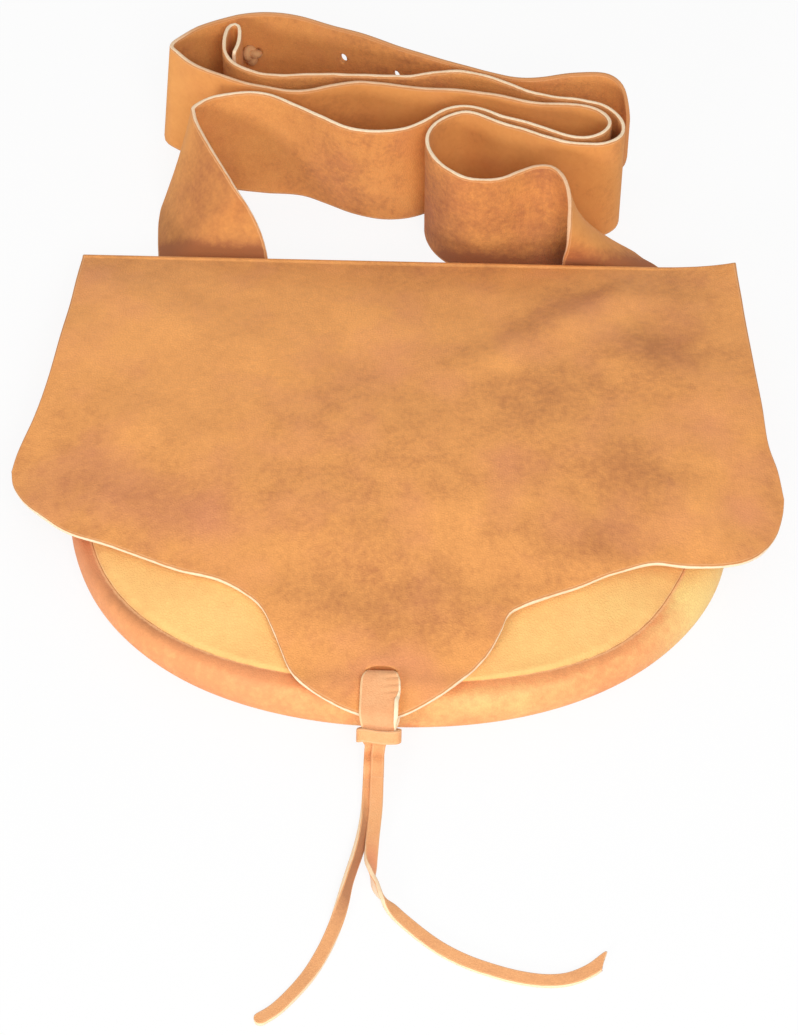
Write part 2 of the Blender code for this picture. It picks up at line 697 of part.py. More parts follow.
def tie_mesh(name):
    """The thong's two knots and the stem between them, turned about the hole's axis."""
    stem = HOLE_R - TIE_CLEARANCE
    face = STRAP_T / 2 + SEAT
    profile = [
        (0.0, -face - 6.8),
        (2.4, -face - 6.4),
        (4.0, -face - 4.6),
        (4.3, -face - 2.6),
        (3.4, -face - 0.6),
        (stem + 0.4, -face),
        (stem, 0.0),
        (stem + 0.4, face),
        (3.6, face + 0.5),
        (3.8, face + 1.8),
        (2.2, face + 3.0),
        (0.0, face + 3.2),
    ]
    sides = 14
    turn = np.linspace(0.0, 2 * math.pi, sides, endpoint=False)
    points = [(0.0, profile[0][1], 0.0)]
    for radius, y in profile[1:-1]:
        points += [(radius * math.cos(a), y, radius * math.sin(a)) for a in turn]
    points.append((0.0, profile[-1][1], 0.0))
    last = len(points) - 1
    faces = []
    for i in range(sides):
        after = (i + 1) % sides
        faces.append((0, 1 + i, 1 + after))
        for ring in range(len(profile) - 3):
            low = 1 + ring * sides
            faces.append((low + i, low + sides + i, low + sides + after, low + after))
        faces.append((last, last - sides + after, last - sides + i))
    mesh = bpy.data.meshes.new(name)
    mesh.from_pydata((np.array(points) * MM).tolist(), [], faces)
    mesh.shade_smooth()
    return mesh


def lace_tail(name, start_x, rise, route, material, parent, hinge):
    """A free end of the lace, as a tube as thick as the lace is wide."""
    height = LACE_W / 2 + TABLE_GAP
    start = (start_x, NECK_END_Y - TAIL_GAP, rise)
    points = smooth_curve([start, *route], 4) + [0.0, 0.0, height]
    curve = bpy.data.curves.new(name, "CURVE")
    curve.dimensions = "3D"
    curve.bevel_depth = LACE_W / 2 * MM
    curve.bevel_resolution = 2
    curve.use_fill_caps = True
    line = curve.splines.new("POLY")
    line.points.add(len(points) - 1)
    for point, (x, y, z) in zip(line.points, points, strict=True):
        point.co = (x * MM, y * MM, (z - hinge) * MM, 1.0)
    return place(name, curve, material, parent)


def build_body(frame):
    tan = leather("tan_leather", (0.72, 0.35, 0.13), 0.55)
    pale = leather("pale_tan_leather", (0.84, 0.50, 0.22), 0.55)
    place("back_panel", sheet_mesh("back_panel", back_panel_grid(), PANEL_T), tan, frame)
    place("front_panel", sheet_mesh("front_panel", front_panel_grid(), PANEL_T), pale, frame)
    place("gusset", sheet_mesh("gusset", gusset_grid(), PANEL_T), pale, frame)


def build_flap(frame):
    """The flap and what it carries, on an empty that lies on the hinge line."""
    root = hinge_height()
    hinge = empty("flap_axis", (0.0, 0.0, root), frame)
    drop = np.array([0.0, 0.0, root])
    tan = leather("flap_leather", (0.68, 0.31, 0.11), 0.5)
    lace = leather("lace_leather", (0.87, 0.43, 0.17), 0.6)
    flap = place("flap", sheet_mesh("flap", flap_grid() - drop, FLAP_T), tan, hinge)
    bpy.ops.mesh.primitive_cube_add(size=1.0)
    slit = bpy.context.object
    slit.name = "slit_cutter"
    slit.scale = ((TAB_NECK_W + 5 * SEAT) * MM, SLIT_LENGTH * MM, 6 * FLAP_T * MM)
    slit.location = (TAB_X * MM, SLIT_Y * MM, (float(flap_height(TAB_X, SLIT_Y)) - root) * MM)
    cut(flap, slit)
    place("closure_tab", sheet_mesh("closure_tab", tab_grid() - drop, TAB_T), lace, hinge)
    place("lace_hitch", sheet_mesh("lace_hitch", hitch_grid() - drop, LACE_T), lace, hinge)
    lace_tail("lace_tail_left", NECK_X[0], 0.0, LEFT_TAIL, lace, hinge, root)
    lace_tail("lace_tail_right", NECK_X[1], NECK_RISE, RIGHT_TAIL, lace, hinge, root)


def build_strap(frame):
    """The two straps, their holes, and the thong that ties them together."""
    tan = leather("strap_leather", (0.70, 0.30, 0.10), 0.55)
    left = (ANCHOR_X[0], LEFT_ROUTE, -1.0)
    right = (ANCHOR_X[1], RIGHT_ROUTE, 1.0)
    strap_left = place("strap_left", sheet_mesh("strap_left", strap_grid(*left, True), STRAP_T), tan, frame)
    place("strap_right", sheet_mesh("strap_right", strap_grid(*right, False), STRAP_T), tan, frame)
    places = [(HOLE_FROM_TIP + HOLE_PITCH * i, HOLE_DROP) for i in range(HOLE_COUNT)]
    for i, (from_tip, drop) in enumerate([*places, (TIE_FROM_TIP, TIE_DROP)]):
        at, angle = strap_place(*left, from_tip, drop)
        cut(strap_left, upright_drum(f"hole_cutter_{i}", at, angle, HOLE_R, 3 * STRAP_T))
    at, angle = strap_place(*left, TIE_FROM_TIP, TIE_DROP)
    tie = place("strap_tie", tie_mesh("strap_tie"), leather("thong", (0.6, 0.3, 0.13), 0.7), frame)
    tie.location = [v * MM for v in at]
    tie.rotation_euler = (0.0, 0.0, angle)


def main():
    clear_scene()
    frame = empty("bag_frame", (0.0, FOLD_Y, 0.0))
    build_body(frame)
    build_flap(frame)
    build_strap(frame)


main()
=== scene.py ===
"""The looks of a plain tan leather hunting bag that lies on its back, its strap standing in loops.

Sizes are in millimetres in the bag's own frame: y = 0 is the fold where the flap starts, the bag's
round bottom is towards -Y, its strap towards +Y, and the table is z = 0. to_metres() moves them into
the row's frame. Each piece of leather is a grid of points on its middle surface, given its thickness,
a rounded cut edge, and a finish of its own.
"""

import logging
import math
from dataclasses import dataclass, field
from enum import Enum

import bpy
import numpy as np
from mathutils import Matrix, Vector


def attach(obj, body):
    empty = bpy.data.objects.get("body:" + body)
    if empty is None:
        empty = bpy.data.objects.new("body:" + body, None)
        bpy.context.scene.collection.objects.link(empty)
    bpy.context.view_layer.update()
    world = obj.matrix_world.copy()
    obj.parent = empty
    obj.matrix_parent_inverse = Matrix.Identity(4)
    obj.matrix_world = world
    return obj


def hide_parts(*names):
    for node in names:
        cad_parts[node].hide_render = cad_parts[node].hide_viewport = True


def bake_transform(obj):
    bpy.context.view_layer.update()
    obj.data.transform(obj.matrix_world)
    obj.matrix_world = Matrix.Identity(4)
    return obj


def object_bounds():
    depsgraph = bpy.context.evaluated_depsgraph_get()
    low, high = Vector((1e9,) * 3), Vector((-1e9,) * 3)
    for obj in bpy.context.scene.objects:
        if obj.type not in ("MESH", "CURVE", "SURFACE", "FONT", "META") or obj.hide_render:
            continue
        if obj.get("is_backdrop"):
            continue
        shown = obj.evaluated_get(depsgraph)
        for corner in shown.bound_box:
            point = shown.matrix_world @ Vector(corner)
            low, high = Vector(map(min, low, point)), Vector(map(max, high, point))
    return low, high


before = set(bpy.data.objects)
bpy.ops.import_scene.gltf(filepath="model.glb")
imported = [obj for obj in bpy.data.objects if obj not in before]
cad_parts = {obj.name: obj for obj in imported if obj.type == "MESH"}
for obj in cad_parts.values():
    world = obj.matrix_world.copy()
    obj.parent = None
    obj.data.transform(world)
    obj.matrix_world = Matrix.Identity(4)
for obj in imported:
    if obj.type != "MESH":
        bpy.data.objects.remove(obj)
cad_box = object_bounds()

Array = np.ndarray
Colour = tuple[float, float, float]
Pair = tuple[float, float]
Row = tuple[float, ...]
Socket = bpy.types.NodeSocket
Piece = bpy.types.Object

MM = 0.001
log = logging.getLogger("hunting_bag")

# Sizes and places that more than one piece shares, in millimetres.
FOLD_Y = 110.0  # from the middle of the flat back to the fold
SEAT = 0.3  # the air between two pieces that touch
TABLE_GAP = 0.05  # the air under what lies on the table
PANEL_T = 1.8  # the thickness of the back, the front and the gusset
FLAP_T = 2.0
STRAP_T = 1.8
TAB_T = 1.6
LACE_T = 1.6
LACE_W = 4.8
MOUTH_Y = -11.0  # the front's upper edge
CURL_RADIUS = 18.1  # of the back's curl, up to the fold
LACE_EXIT_Y = -253.0  # where the hitch ends and the lace's free ends start
TAIL_RISE = 3.4  # how much higher the right free end starts
TIE_HOLE = (176.0, 21.0)  # from the left strap's tip, and under its upper edge
CROWN = (  # y and height down the middle of the front, from its mouth to its seam
    (MOUTH_Y, 20.9), (-25.0, 24.2), (-50.0, 28.2), (-80.0, 30.9), (-110.0, 31.9), (-140.0, 31.2),
    (-165.0, 28.6), (-185.0, 24.8), (-200.0, 21.0), (-216.5, 16.6),
)
UP = (0.0, 0.0, 1.0)
TINY = 1e-9  # keeps a division from meeting zero


class Body(Enum):
    """The two bodies that the pieces ride on."""

    BAG = "body"
    FLAP = "flap"


class Side(Enum):
    """A side of the bag, as seen from its bottom."""

    LEFT = -1.0
    RIGHT = 1.0


class Face(Enum):
    """The surfaces of a cut piece of leather, by material slot."""

    GRAIN = 0
    EDGE = 1
    FLESH = 2


def to_metres(points: Array) -> Array:
    """Put points in millimetres of the bag's frame into the row's frame, in metres."""
    return (np.asarray(points, float) + [0.0, FOLD_Y, 0.0]) * MM


def from_hex(code: str) -> Colour:
    """Turn a display colour such as "d9964f" into linear light, by the sRGB curve."""
    parts = [int(code[i:i + 2], 16) / 255.0 for i in (0, 2, 4)]
    return tuple(p / 12.92 if p <= 0.04045 else ((p + 0.055) / 1.055) ** 2.4 for p in parts)


def dyes(**codes: str) -> dict[str, Colour]:
    """Turn a finish's display colours, each under its name, into linear ones."""
    return {name: from_hex(code) for name, code in codes.items()}


def smooth_curve(points: list[Row] | Array, steps: int) -> Array:
    """Run a Catmull-Rom curve through points: a cubic between each two, with its ends' slopes
    taken from the points on either side.

    Args:
        points: The points, one row each, with any number of values.
        steps: Stations from one point to the next.

    Returns:
        The stations, one row each.
    """
    p = np.array(points, float)
    p = np.vstack([2 * p[0] - p[1], p, 2 * p[-1] - p[-2]])
    t = (np.arange(steps) / steps)[None, :, None]
    a, b, c, d = (p[k:len(p) - 3 + k][:, None] for k in range(4))
    square, cube = a - 2.5 * b + 2 * c - d / 2, 1.5 * (b - c) + (d - a) / 2
    curve = b + (c - a) * t / 2 + square * t**2 + cube * t**3
    return np.vstack([curve.reshape(-1, p.shape[1]), p[-2:-1]])


def unit(vectors: Array) -> Array:
    """Scale vectors, on the last axis, to a length of 1."""
    return vectors / np.maximum(np.linalg.norm(vectors, axis=-1, keepdims=True), TINY)


def sheet(x: Array, y: Array, z: Array) -> Array:
    """Spread x, y and z over one grid and put them together as its points."""
    return np.stack(np.broadcast_arrays(x, y, z), axis=2)


def along(curve: Array) -> Array:
    """Measure each station's distance from the curve's start, as a running sum of its steps."""
    return np.concatenate([[0.0], np.cumsum(np.linalg.norm(np.diff(curve, axis=0), axis=1))])


def stations_at(curve: Array, distance: Array, wanted: Array) -> Array:
    """Read a curve's values, one row each, where the distance along it has the wanted values."""
    return np.stack([np.interp(wanted, distance, curve[:, k]) for k in range(curve.shape[1])], axis=1)


def spread(curve: Array, shares: Array) -> Array:
    """Read a curve at shares of its length, from 0 to 1."""
    distance = along(curve)
    return stations_at(curve, distance, np.asarray(shares) * distance[-1])


def ease(value: Array, low: float, high: float) -> Array:
    """Turn a value into 0 at low and 1 at high, by the smooth cubic 3t^2 - 2t^3 between them."""
    share = np.clip((np.asarray(value, float) - low) / (high - low), 0.0, 1.0)
    return share**2 * (3 - 2 * share)


def plateau(value: Array, edges: Row) -> Array:
    """Turn a value into 1 between the middle two of four edges, easing to 0 at the outer two."""
    return ease(value, edges[0], edges[1]) * (1.0 - ease(value, edges[2], edges[3]))


def waves(points: Array, size: float, seed: int, count: int = 7) -> Array:
    """Make a calm, uneven swell: a mean of plane sine waves that run in seeded directions, each 0.6 to
    1.6 times as long as the usual one.

    Args:
        points: Places in millimetres, with their coordinates on the last axis.
        size: The usual length of a wave in millimetres.
        seed: Picks the waves.
        count: How many waves are added.

    Returns:
        One value for each place, mostly from -1 to 1.
    """
    rng = np.random.default_rng(seed)
    heading = unit(rng.normal(size=(count, points.shape[-1])))
    rate = 2 * math.pi / (size * rng.uniform(0.6, 1.6, count))
    phase = rng.uniform(0.0, 2 * math.pi, count)
    return np.sin(points @ (heading * rate[:, None]).T + phase).sum(-1) / math.sqrt(count)


def waves_along(distance: Array, size: float, seed: int) -> Array:
    """Make the same kind of swell from the distance along a line."""
    return waves(np.stack([distance, 0 * distance], axis=-1), size, seed)


def bells(place: Array, rows: tuple[Row, ...]) -> Array:
    """Add up bell shapes over one coordinate: each is strength times exp(-((place - middle) / half)^2).

    Args:
        place: Where to read.
        rows: Each bell's middle, half width and strength.

    Returns:
        The sum at each place.
    """
    place = np.asarray(place, float)
    total = 0.0 * place
    for middle, half, strength in rows:
        total = total + strength * np.exp(-(((place - middle) / half) ** 2))
    return total


def edge_distance(grid: Array) -> Array:
    """Measure how far each grid point is from the nearest edge, along the grid's own lines.

    Args:
        grid: The points of a sheet.

    Returns:
        One distance in millimetres for each grid point.
    """
    nearer = []
    for axis in (0, 1):
        step = np.linalg.norm(np.diff(grid, axis=axis), axis=2)
        start = np.insert(np.cumsum(step, axis=axis), 0, 0.0, axis=axis)
        nearer.append(np.minimum(start, start.max(axis=axis, keepdims=True) - start))
    return np.minimum(*nearer)


def strip_stations(total: float, width: float, tip: Row, spacing: float) -> tuple[Array, Array]:
    """Place stations along a strip, closer ones round its tip, and read its half width at each: near
    the tip it falls as a quarter circle does, but not quite to nothing.

    Args:
        total: The strip's length.
        width: Its width.
        tip: The tip's radius, its count of stations, and how much of the fall it takes, nearly 1.
        spacing: About how far apart the other stations are.

    Returns:
        Each station's distance from the start, and its half width.
    """
    radius, count, most = tip
    wanted = np.concatenate([
        np.linspace(0.0, total - radius, int(total / spacing)),
        total - radius + radius * np.sin(np.linspace(0.0, math.pi / 2, count))[1:],
    ])
    short = np.clip(1.0 - (total - wanted) / radius, 0.0, most)
    return wanted, width / 2 - radius * (1.0 - np.sqrt(1.0 - short**2))


@dataclass(frozen=True)
class HeightLine:
    """A smooth line of heights over y, through given points of (y, z)."""

    points: tuple[Row, ...]
    steps: int = 12

    def at(self, y: Array) -> Array:
        """Read the height at y.

        Args:
            y: Places in millimetres.

        Returns:
            The height at each place.
        """
        curve = smooth_curve(list(self.points), self.steps)
        order = np.argsort(curve[:, 0])
        return np.interp(y, curve[order, 0], curve[order, 1])


@dataclass(frozen=True)
class Blotch:
    """A soft patch of the leather's colour: where it lies, its half sizes, its turn and its fall."""

    x: float
    y: float
    half_x: float
    half_y: float
    strength: float
    turn: float = 0.0
    fall: float = 1.2

    def at(self, x: Array, y: Array) -> Array:
        """Read the patch's strength: a bell shape, exp(-fall r^2), over its turned ellipse.

        Args:
            x: Places across the bag.
            y: Places along the bag.

        Returns:
            The strength at each place.
        """
        c, s = math.cos(math.radians(self.turn)), math.sin(math.radians(self.turn))
        u = ((x - self.x) * c + (y - self.y) * s) / self.half_x
        v = ((y - self.y) * c - (x - self.x) * s) / self.half_y
        return self.strength * np.exp(-(u**2 + v**2) * self.fall)


def patches(rows: tuple[Row, ...], x: Array, y: Array) -> Array:
    """Add up the strengths of soft patches at these places. Each row holds a Blotch's values."""
    return sum(Blotch(*row).at(x, y) for row in rows)


class Wiring:
    """A node tree with short calls that add nodes and join them."""

    MIX_INPUTS = (6, 7)  # where a Mix node takes its two colours in
    MIX_OUTPUT = 2  # and where it puts the mixed one out

    def __init__(self, tree: bpy.types.NodeTree) -> None:
        """Keep the tree."""
        self.tree = tree

    def add(self, kind: str, inputs: dict | None = None, **settings: object) -> bpy.types.Node:
        """Add a node, with its settings, and its inputs set or joined.

        Args:
            kind: The node's type, without the words ShaderNode.
            inputs: Input names or numbers, each with a value or with the socket that feeds it.
            settings: The node's own settings.

        Returns:
            The node.
        """
        node = self.tree.nodes.new("ShaderNode" + kind)
        for name, value in settings.items():
            setattr(node, name, value)
        for name, value in (inputs or {}).items():
            self.feed(node.inputs[name], value)
        return node

    def seen(self) -> Socket:
        """Find whether the camera sees a place, also in gloss or through something clear.

        Returns:
            A share of 0 or 1.
        """
        rays = self.add("LightPath").outputs
        clear = self.math("MAXIMUM", rays["Is Glossy Ray"], rays["Is Transmission Ray"])
        return self.math("MAXIMUM", rays["Is Camera Ray"], clear)

    def feed(self, socket: Socket, value: object) -> None:
        """Join a socket into an input, or set the input's own value.

        Args:
            socket: The input.
            value: A socket, a number, or a colour or vector.
        """
        if isinstance(value, Socket):
            self.tree.links.new(value, socket)
        elif isinstance(value, (tuple, list)) and len(value) == 3 and socket.type == "RGBA":
            socket.default_value = (*value, 1.0)
        else:
            socket.default_value = value

    def math(self, operation: str, *values: object, clamp: bool = False) -> Socket:
        """Add a Math node for its one to three inputs, numbers or sockets, and give its result."""
        node = self.add("Math", dict(enumerate(values)), operation=operation, use_clamp=clamp)
        return node.outputs[0]

    def map(self, value: object, low: float, high: float, to_low: float, to_high: float) -> Socket:
        """Map a value from one range to another, smoothly and held inside it."""
        inputs = {"Value": value, "From Min": low, "From Max": high, "To Min": to_low, "To Max": to_high}
        return self.add("MapRange", inputs, interpolation_type="SMOOTHSTEP").outputs["Result"]

    def mix(self, share: object, first: object, second: object) -> Socket:
        """Mix two colours.

        Args:
            share: How much of the second is mixed in.
            first: The first colour.
            second: The second colour.

        Returns:
            The mixed colour's socket.
        """
        node = self.add("Mix", {"Factor": share}, data_type="RGBA")
        for number, colour in zip(self.MIX_INPUTS, (first, second)):
            self.feed(node.inputs[number], colour)
        return node.outputs[self.MIX_OUTPUT]

    def noise(self, place: object, scale: object, detail: float, roughness: float = 0.5) -> Socket:
        """Add a Noise texture, about 0.5 on average. The scale is its features for each metre."""
        inputs = {"Vector": place, "Scale": scale, "Detail": detail, "Roughness": roughness}
        return self.add("TexNoise", inputs).outputs["Fac"]

    def swing(self, place: object, scale: object, detail: float, roughness: float = 0.5) -> Socket:
        """Add a Noise texture, as noise does, that is about 0 on average."""
        return self.math("SUBTRACT", self.noise(place, scale, detail, roughness), 0.5)


def add_object(name: str, data: bpy.types.ID) -> Piece:
    """Make an object of its data and put it in the scene, at the origin.

    Args:
        name: The object's name.
        data: Its mesh, curve, camera or light.

    Returns:
        The object.
    """
    thing = bpy.data.objects.new(name, data)
    bpy.context.scene.collection.objects.link(thing)
    return thing


def open_material(name: str) -> tuple[bpy.types.Material, Wiring, bpy.types.Node]:
    """Start a material on nodes.

    Args:
        name: The material's name.

    Returns:
        The material, its wiring and its main shader.
    """
    made = bpy.data.materials.new(name)
    made.use_nodes = True
    return made, Wiring(made.node_tree), made.node_tree.nodes["Principled BSDF"]


class SharedNodes:
    """The shader groups that more than one finish uses. Each is built once.

    A rate is a noise's features for each metre, or a factor of the finish's own rate. A layer of the
    dye is its rate's factor, its detail, its roughness and its strength.
    """

    CELL_BEND_RATE = 240.0
    CELL_BEND = 0.0012
    CELL_RIM = 0.32
    FINE_RATE = 2.6
    BROAD_RATE = 62.0
    CREASE_RATE = 165.0
    CREASE_HALF = 0.045
    HEIGHT_SHARES = (0.46, 0.34, 0.2)
    DYE_LAYERS = ((1.0, 2.0, 0.5, 1.5), (4.3, 3.0, 0.55, 1.3), (17.0, 2.0, 0.6, 1.2))
    DYE_CONTRAST = 0.8
    RED_RATE = 1.7
    RED_STRENGTH = 0.9
    RIM_RATE = 420.0
    RIM_BREAKUP = 1.1

    @staticmethod
    def open_group(name: str, inputs: dict[str, tuple[str, object]], outputs: dict[str, str]) -> tuple:
        """Start a node group with its sockets.

        Args:
            name: The group's name.
            inputs: Input names, each with its socket type and default.
            outputs: Output names, each with its socket type.

        Returns:
            The group, its wiring, its input node's outputs and its output node's inputs.
        """
        group = bpy.data.node_groups.new(name, "ShaderNodeTree")
        for label, (kind, default) in inputs.items():
            socket = group.interface.new_socket(label, in_out="INPUT", socket_type="NodeSocket" + kind)
            if default is not None:
                socket.default_value = default
        for label, kind in outputs.items():
            group.interface.new_socket(label, in_out="OUTPUT", socket_type="NodeSocket" + kind)
        wires = Wiring(group)
        start = group.nodes.new("NodeGroupInput")
        end = group.nodes.new("NodeGroupOutput")
        return group, wires, start.outputs, end.inputs

    @classmethod
    def grain(cls) -> bpy.types.NodeTree:
        """Build the hide's grain: small rounded cells split by fine creases, with pores between them.

        Returns:
            The group, which puts out a height from 0 to 1 and a mask of the pores.
        """
        found = bpy.data.node_groups.get("hide grain")
        if found:
            return found
        group, w, start, end = cls.open_group(
            "hide grain",
            {"Vector": ("Vector", None), "Cells per metre": ("Float", 900.0), "Creases": ("Float", 0.4)},
            {"Height": "Float", "Pores": "Float"},
        )
        place, rate = start["Vector"], start["Cells per metre"]
        bend = w.noise(place, cls.CELL_BEND_RATE, 2.0)
        moved = w.add("VectorMath", {0: bend, 1: 3 * (cls.CELL_BEND,), 2: place}, operation="MULTIPLY_ADD")
        cells = w.add("TexVoronoi", {"Vector": moved.outputs[0], "Scale": rate}, feature="DISTANCE_TO_EDGE")
        domes = w.map(cells.outputs["Distance"], 0.0, cls.CELL_RIM, 0.0, 1.0)
        fine = w.noise(place, w.math("MULTIPLY", rate, cls.FINE_RATE), 3.0, 0.6)
        broad = w.noise(place, cls.BROAD_RATE, 4.0, 0.6)
        crease = w.math("ABSOLUTE", w.swing(place, cls.CREASE_RATE, 3.0, 0.55))
        crease = w.map(crease, 0.0, cls.CREASE_HALF, 1.0, 0.0)
        crease = w.math("MULTIPLY", crease, w.map(broad, 0.48, 0.7, 0.0, 1.0))
        height = 0.0
        for layer, share in zip((domes, fine, broad), cls.HEIGHT_SHARES):
            height = w.math("ADD", height, w.math("MULTIPLY", layer, share))
        height = w.math("SUBTRACT", height, w.math("MULTIPLY", crease, start["Creases"]))
        between = w.math("SUBTRACT", 1.0, domes)
        w.feed(end["Height"], height)
        w.feed(end["Pores"], w.math("MULTIPLY", between, w.map(fine, 0.4, 0.62, 1.0, 0.2)))
        return group

    @classmethod
    def dye(cls) -> bpy.types.NodeTree:
        """Build the tanner's uneven dye, clouds, blotches and flecks from dark to light, some of them red,
        with the piece's own tone added, which on some pieces is painted shade and light.

        Returns:
            The group, which puts out the colour and how light the place is, about 0.
        """
        found = bpy.data.node_groups.get("dye and painted shade")
        if found:
            return found
        group, w, start, end = cls.open_group(
            "dye and painted shade",
            {
                "Vector": ("Vector", None), "Base": ("Color", None), "Light": ("Color", None),
                "Dark": ("Color", None), "Red": ("Color", None), "Clouds per metre": ("Float", 30.0),
                "Cloudiness": ("Float", 1.0), "Tone": ("Float", 0.0), "Blush": ("Float", 0.0),
            },
            {"Color": "Color", "Lightness": "Float"},
        )
        place, rate = start["Vector"], start["Clouds per metre"]
        value = 0.0
        for factor, detail, roughness, strength in cls.DYE_LAYERS:
            layer = w.swing(place, w.math("MULTIPLY", rate, factor), detail, roughness)
            value = w.math("MULTIPLY_ADD", layer, strength, value)
        # the piece's tone: its own patches of colour and, on some pieces, painted shade and light
        value = w.math("MULTIPLY_ADD", value, start["Cloudiness"], start["Tone"])
        lighter = w.math("MULTIPLY", value, cls.DYE_CONTRAST, clamp=True)
        darker = w.math("MULTIPLY", value, -cls.DYE_CONTRAST, clamp=True)
        ruddy = w.swing(place, w.math("MULTIPLY", rate, cls.RED_RATE), 3.0)
        ruddy = w.math("MULTIPLY_ADD", ruddy, start["Cloudiness"], start["Blush"])
        colour = w.mix(darker, start["Base"], start["Dark"])
        colour = w.mix(lighter, colour, start["Light"])
        colour = w.mix(w.math("MULTIPLY", ruddy, cls.RED_STRENGTH, clamp=True), colour, start["Red"])
        w.feed(end["Color"], colour)
        w.feed(end["Lightness"], value)
        return group

    @classmethod
    def rim(cls) -> bpy.types.NodeTree:
        """Build the wear beside a cut edge: a mask that is 1 at the edge and breaks up as it fades inwards.

        Returns:
            The group, which puts out the mask.
        """
        found = bpy.data.node_groups.get("worn rim")
        if found:
            return found
        group, w, start, end = cls.open_group(
            "worn rim",
            {"Vector": ("Vector", None), "From Edge": ("Float", 10.0), "Reach": ("Float", 1.0)},
            {"Mask": "Float"},
        )
        rough = w.swing(start["Vector"], cls.RIM_RATE, 3.0, 0.6)
        away = w.math("DIVIDE", start["From Edge"], start["Reach"])
        away = w.math("MULTIPLY_ADD", rough, cls.RIM_BREAKUP, away)
        w.feed(end["Mask"], w.map(away, 0.15, 1.0, 1.0, 0.0))
        return group


@dataclass(frozen=True)
class CutEdge:
    """The bare cut edge of a hide: pale packed fibres along its middle, dyed towards both faces."""

    name: str
    pale: Colour
    dyed: Colour
    line: Pair = (0.3, 0.8)
    roughness: float = 0.82
    specular: float = 0.3
    fibre_rate: float = 2600.0
    fibre_stretch: Row = (0.25, 1.6, 1.0)
    fibre_height: float = 0.00012
    soak_rate: float = 150.0
    soak: float = 0.9

    def material(self) -> bpy.types.Material:
        """Make the edge's material, with fine fibres that run along the edge.

        Returns:
            The material.
        """
        found = bpy.data.materials.get(self.name)
        if found:
            return found
        made, w, shader = open_material(self.name)
        place = w.add("TexCoord").outputs["Object"]
        uv = w.add("UVMap", uv_map="hide").outputs["UV"]
        stretched = w.add("Mapping", {"Vector": uv, "Scale": self.fibre_stretch}).outputs["Vector"]
        fibres = w.noise(stretched, self.fibre_rate, 2.0, 0.6)
        soak = w.swing(place, self.soak_rate, 3.0, 0.6)
        aside = w.math("ABSOLUTE", w.add("Attribute", attribute_name="edge_side").outputs["Fac"])
        share = w.map(w.math("MULTIPLY_ADD", soak, self.soak, aside), *self.line, 1.0, 0.0)
        share = w.math("MULTIPLY", share, w.add("Attribute", attribute_name="pale").outputs["Fac"])
        share = w.math("MULTIPLY", share, w.map(fibres, 0.3, 0.6, 0.72, 1.0))
        w.feed(shader.inputs["Base Color"], w.mix(share, self.dyed, self.pale))
        bump = w.add("Bump", {"Height": fibres, "Strength": 0.5, "Distance": self.fibre_height})
        w.feed(shader.inputs["Normal"], bump.outputs["Normal"])
        shader.inputs["Roughness"].default_value = self.roughness
        shader.inputs["Specular IOR Level"].default_value = self.specular
        return made


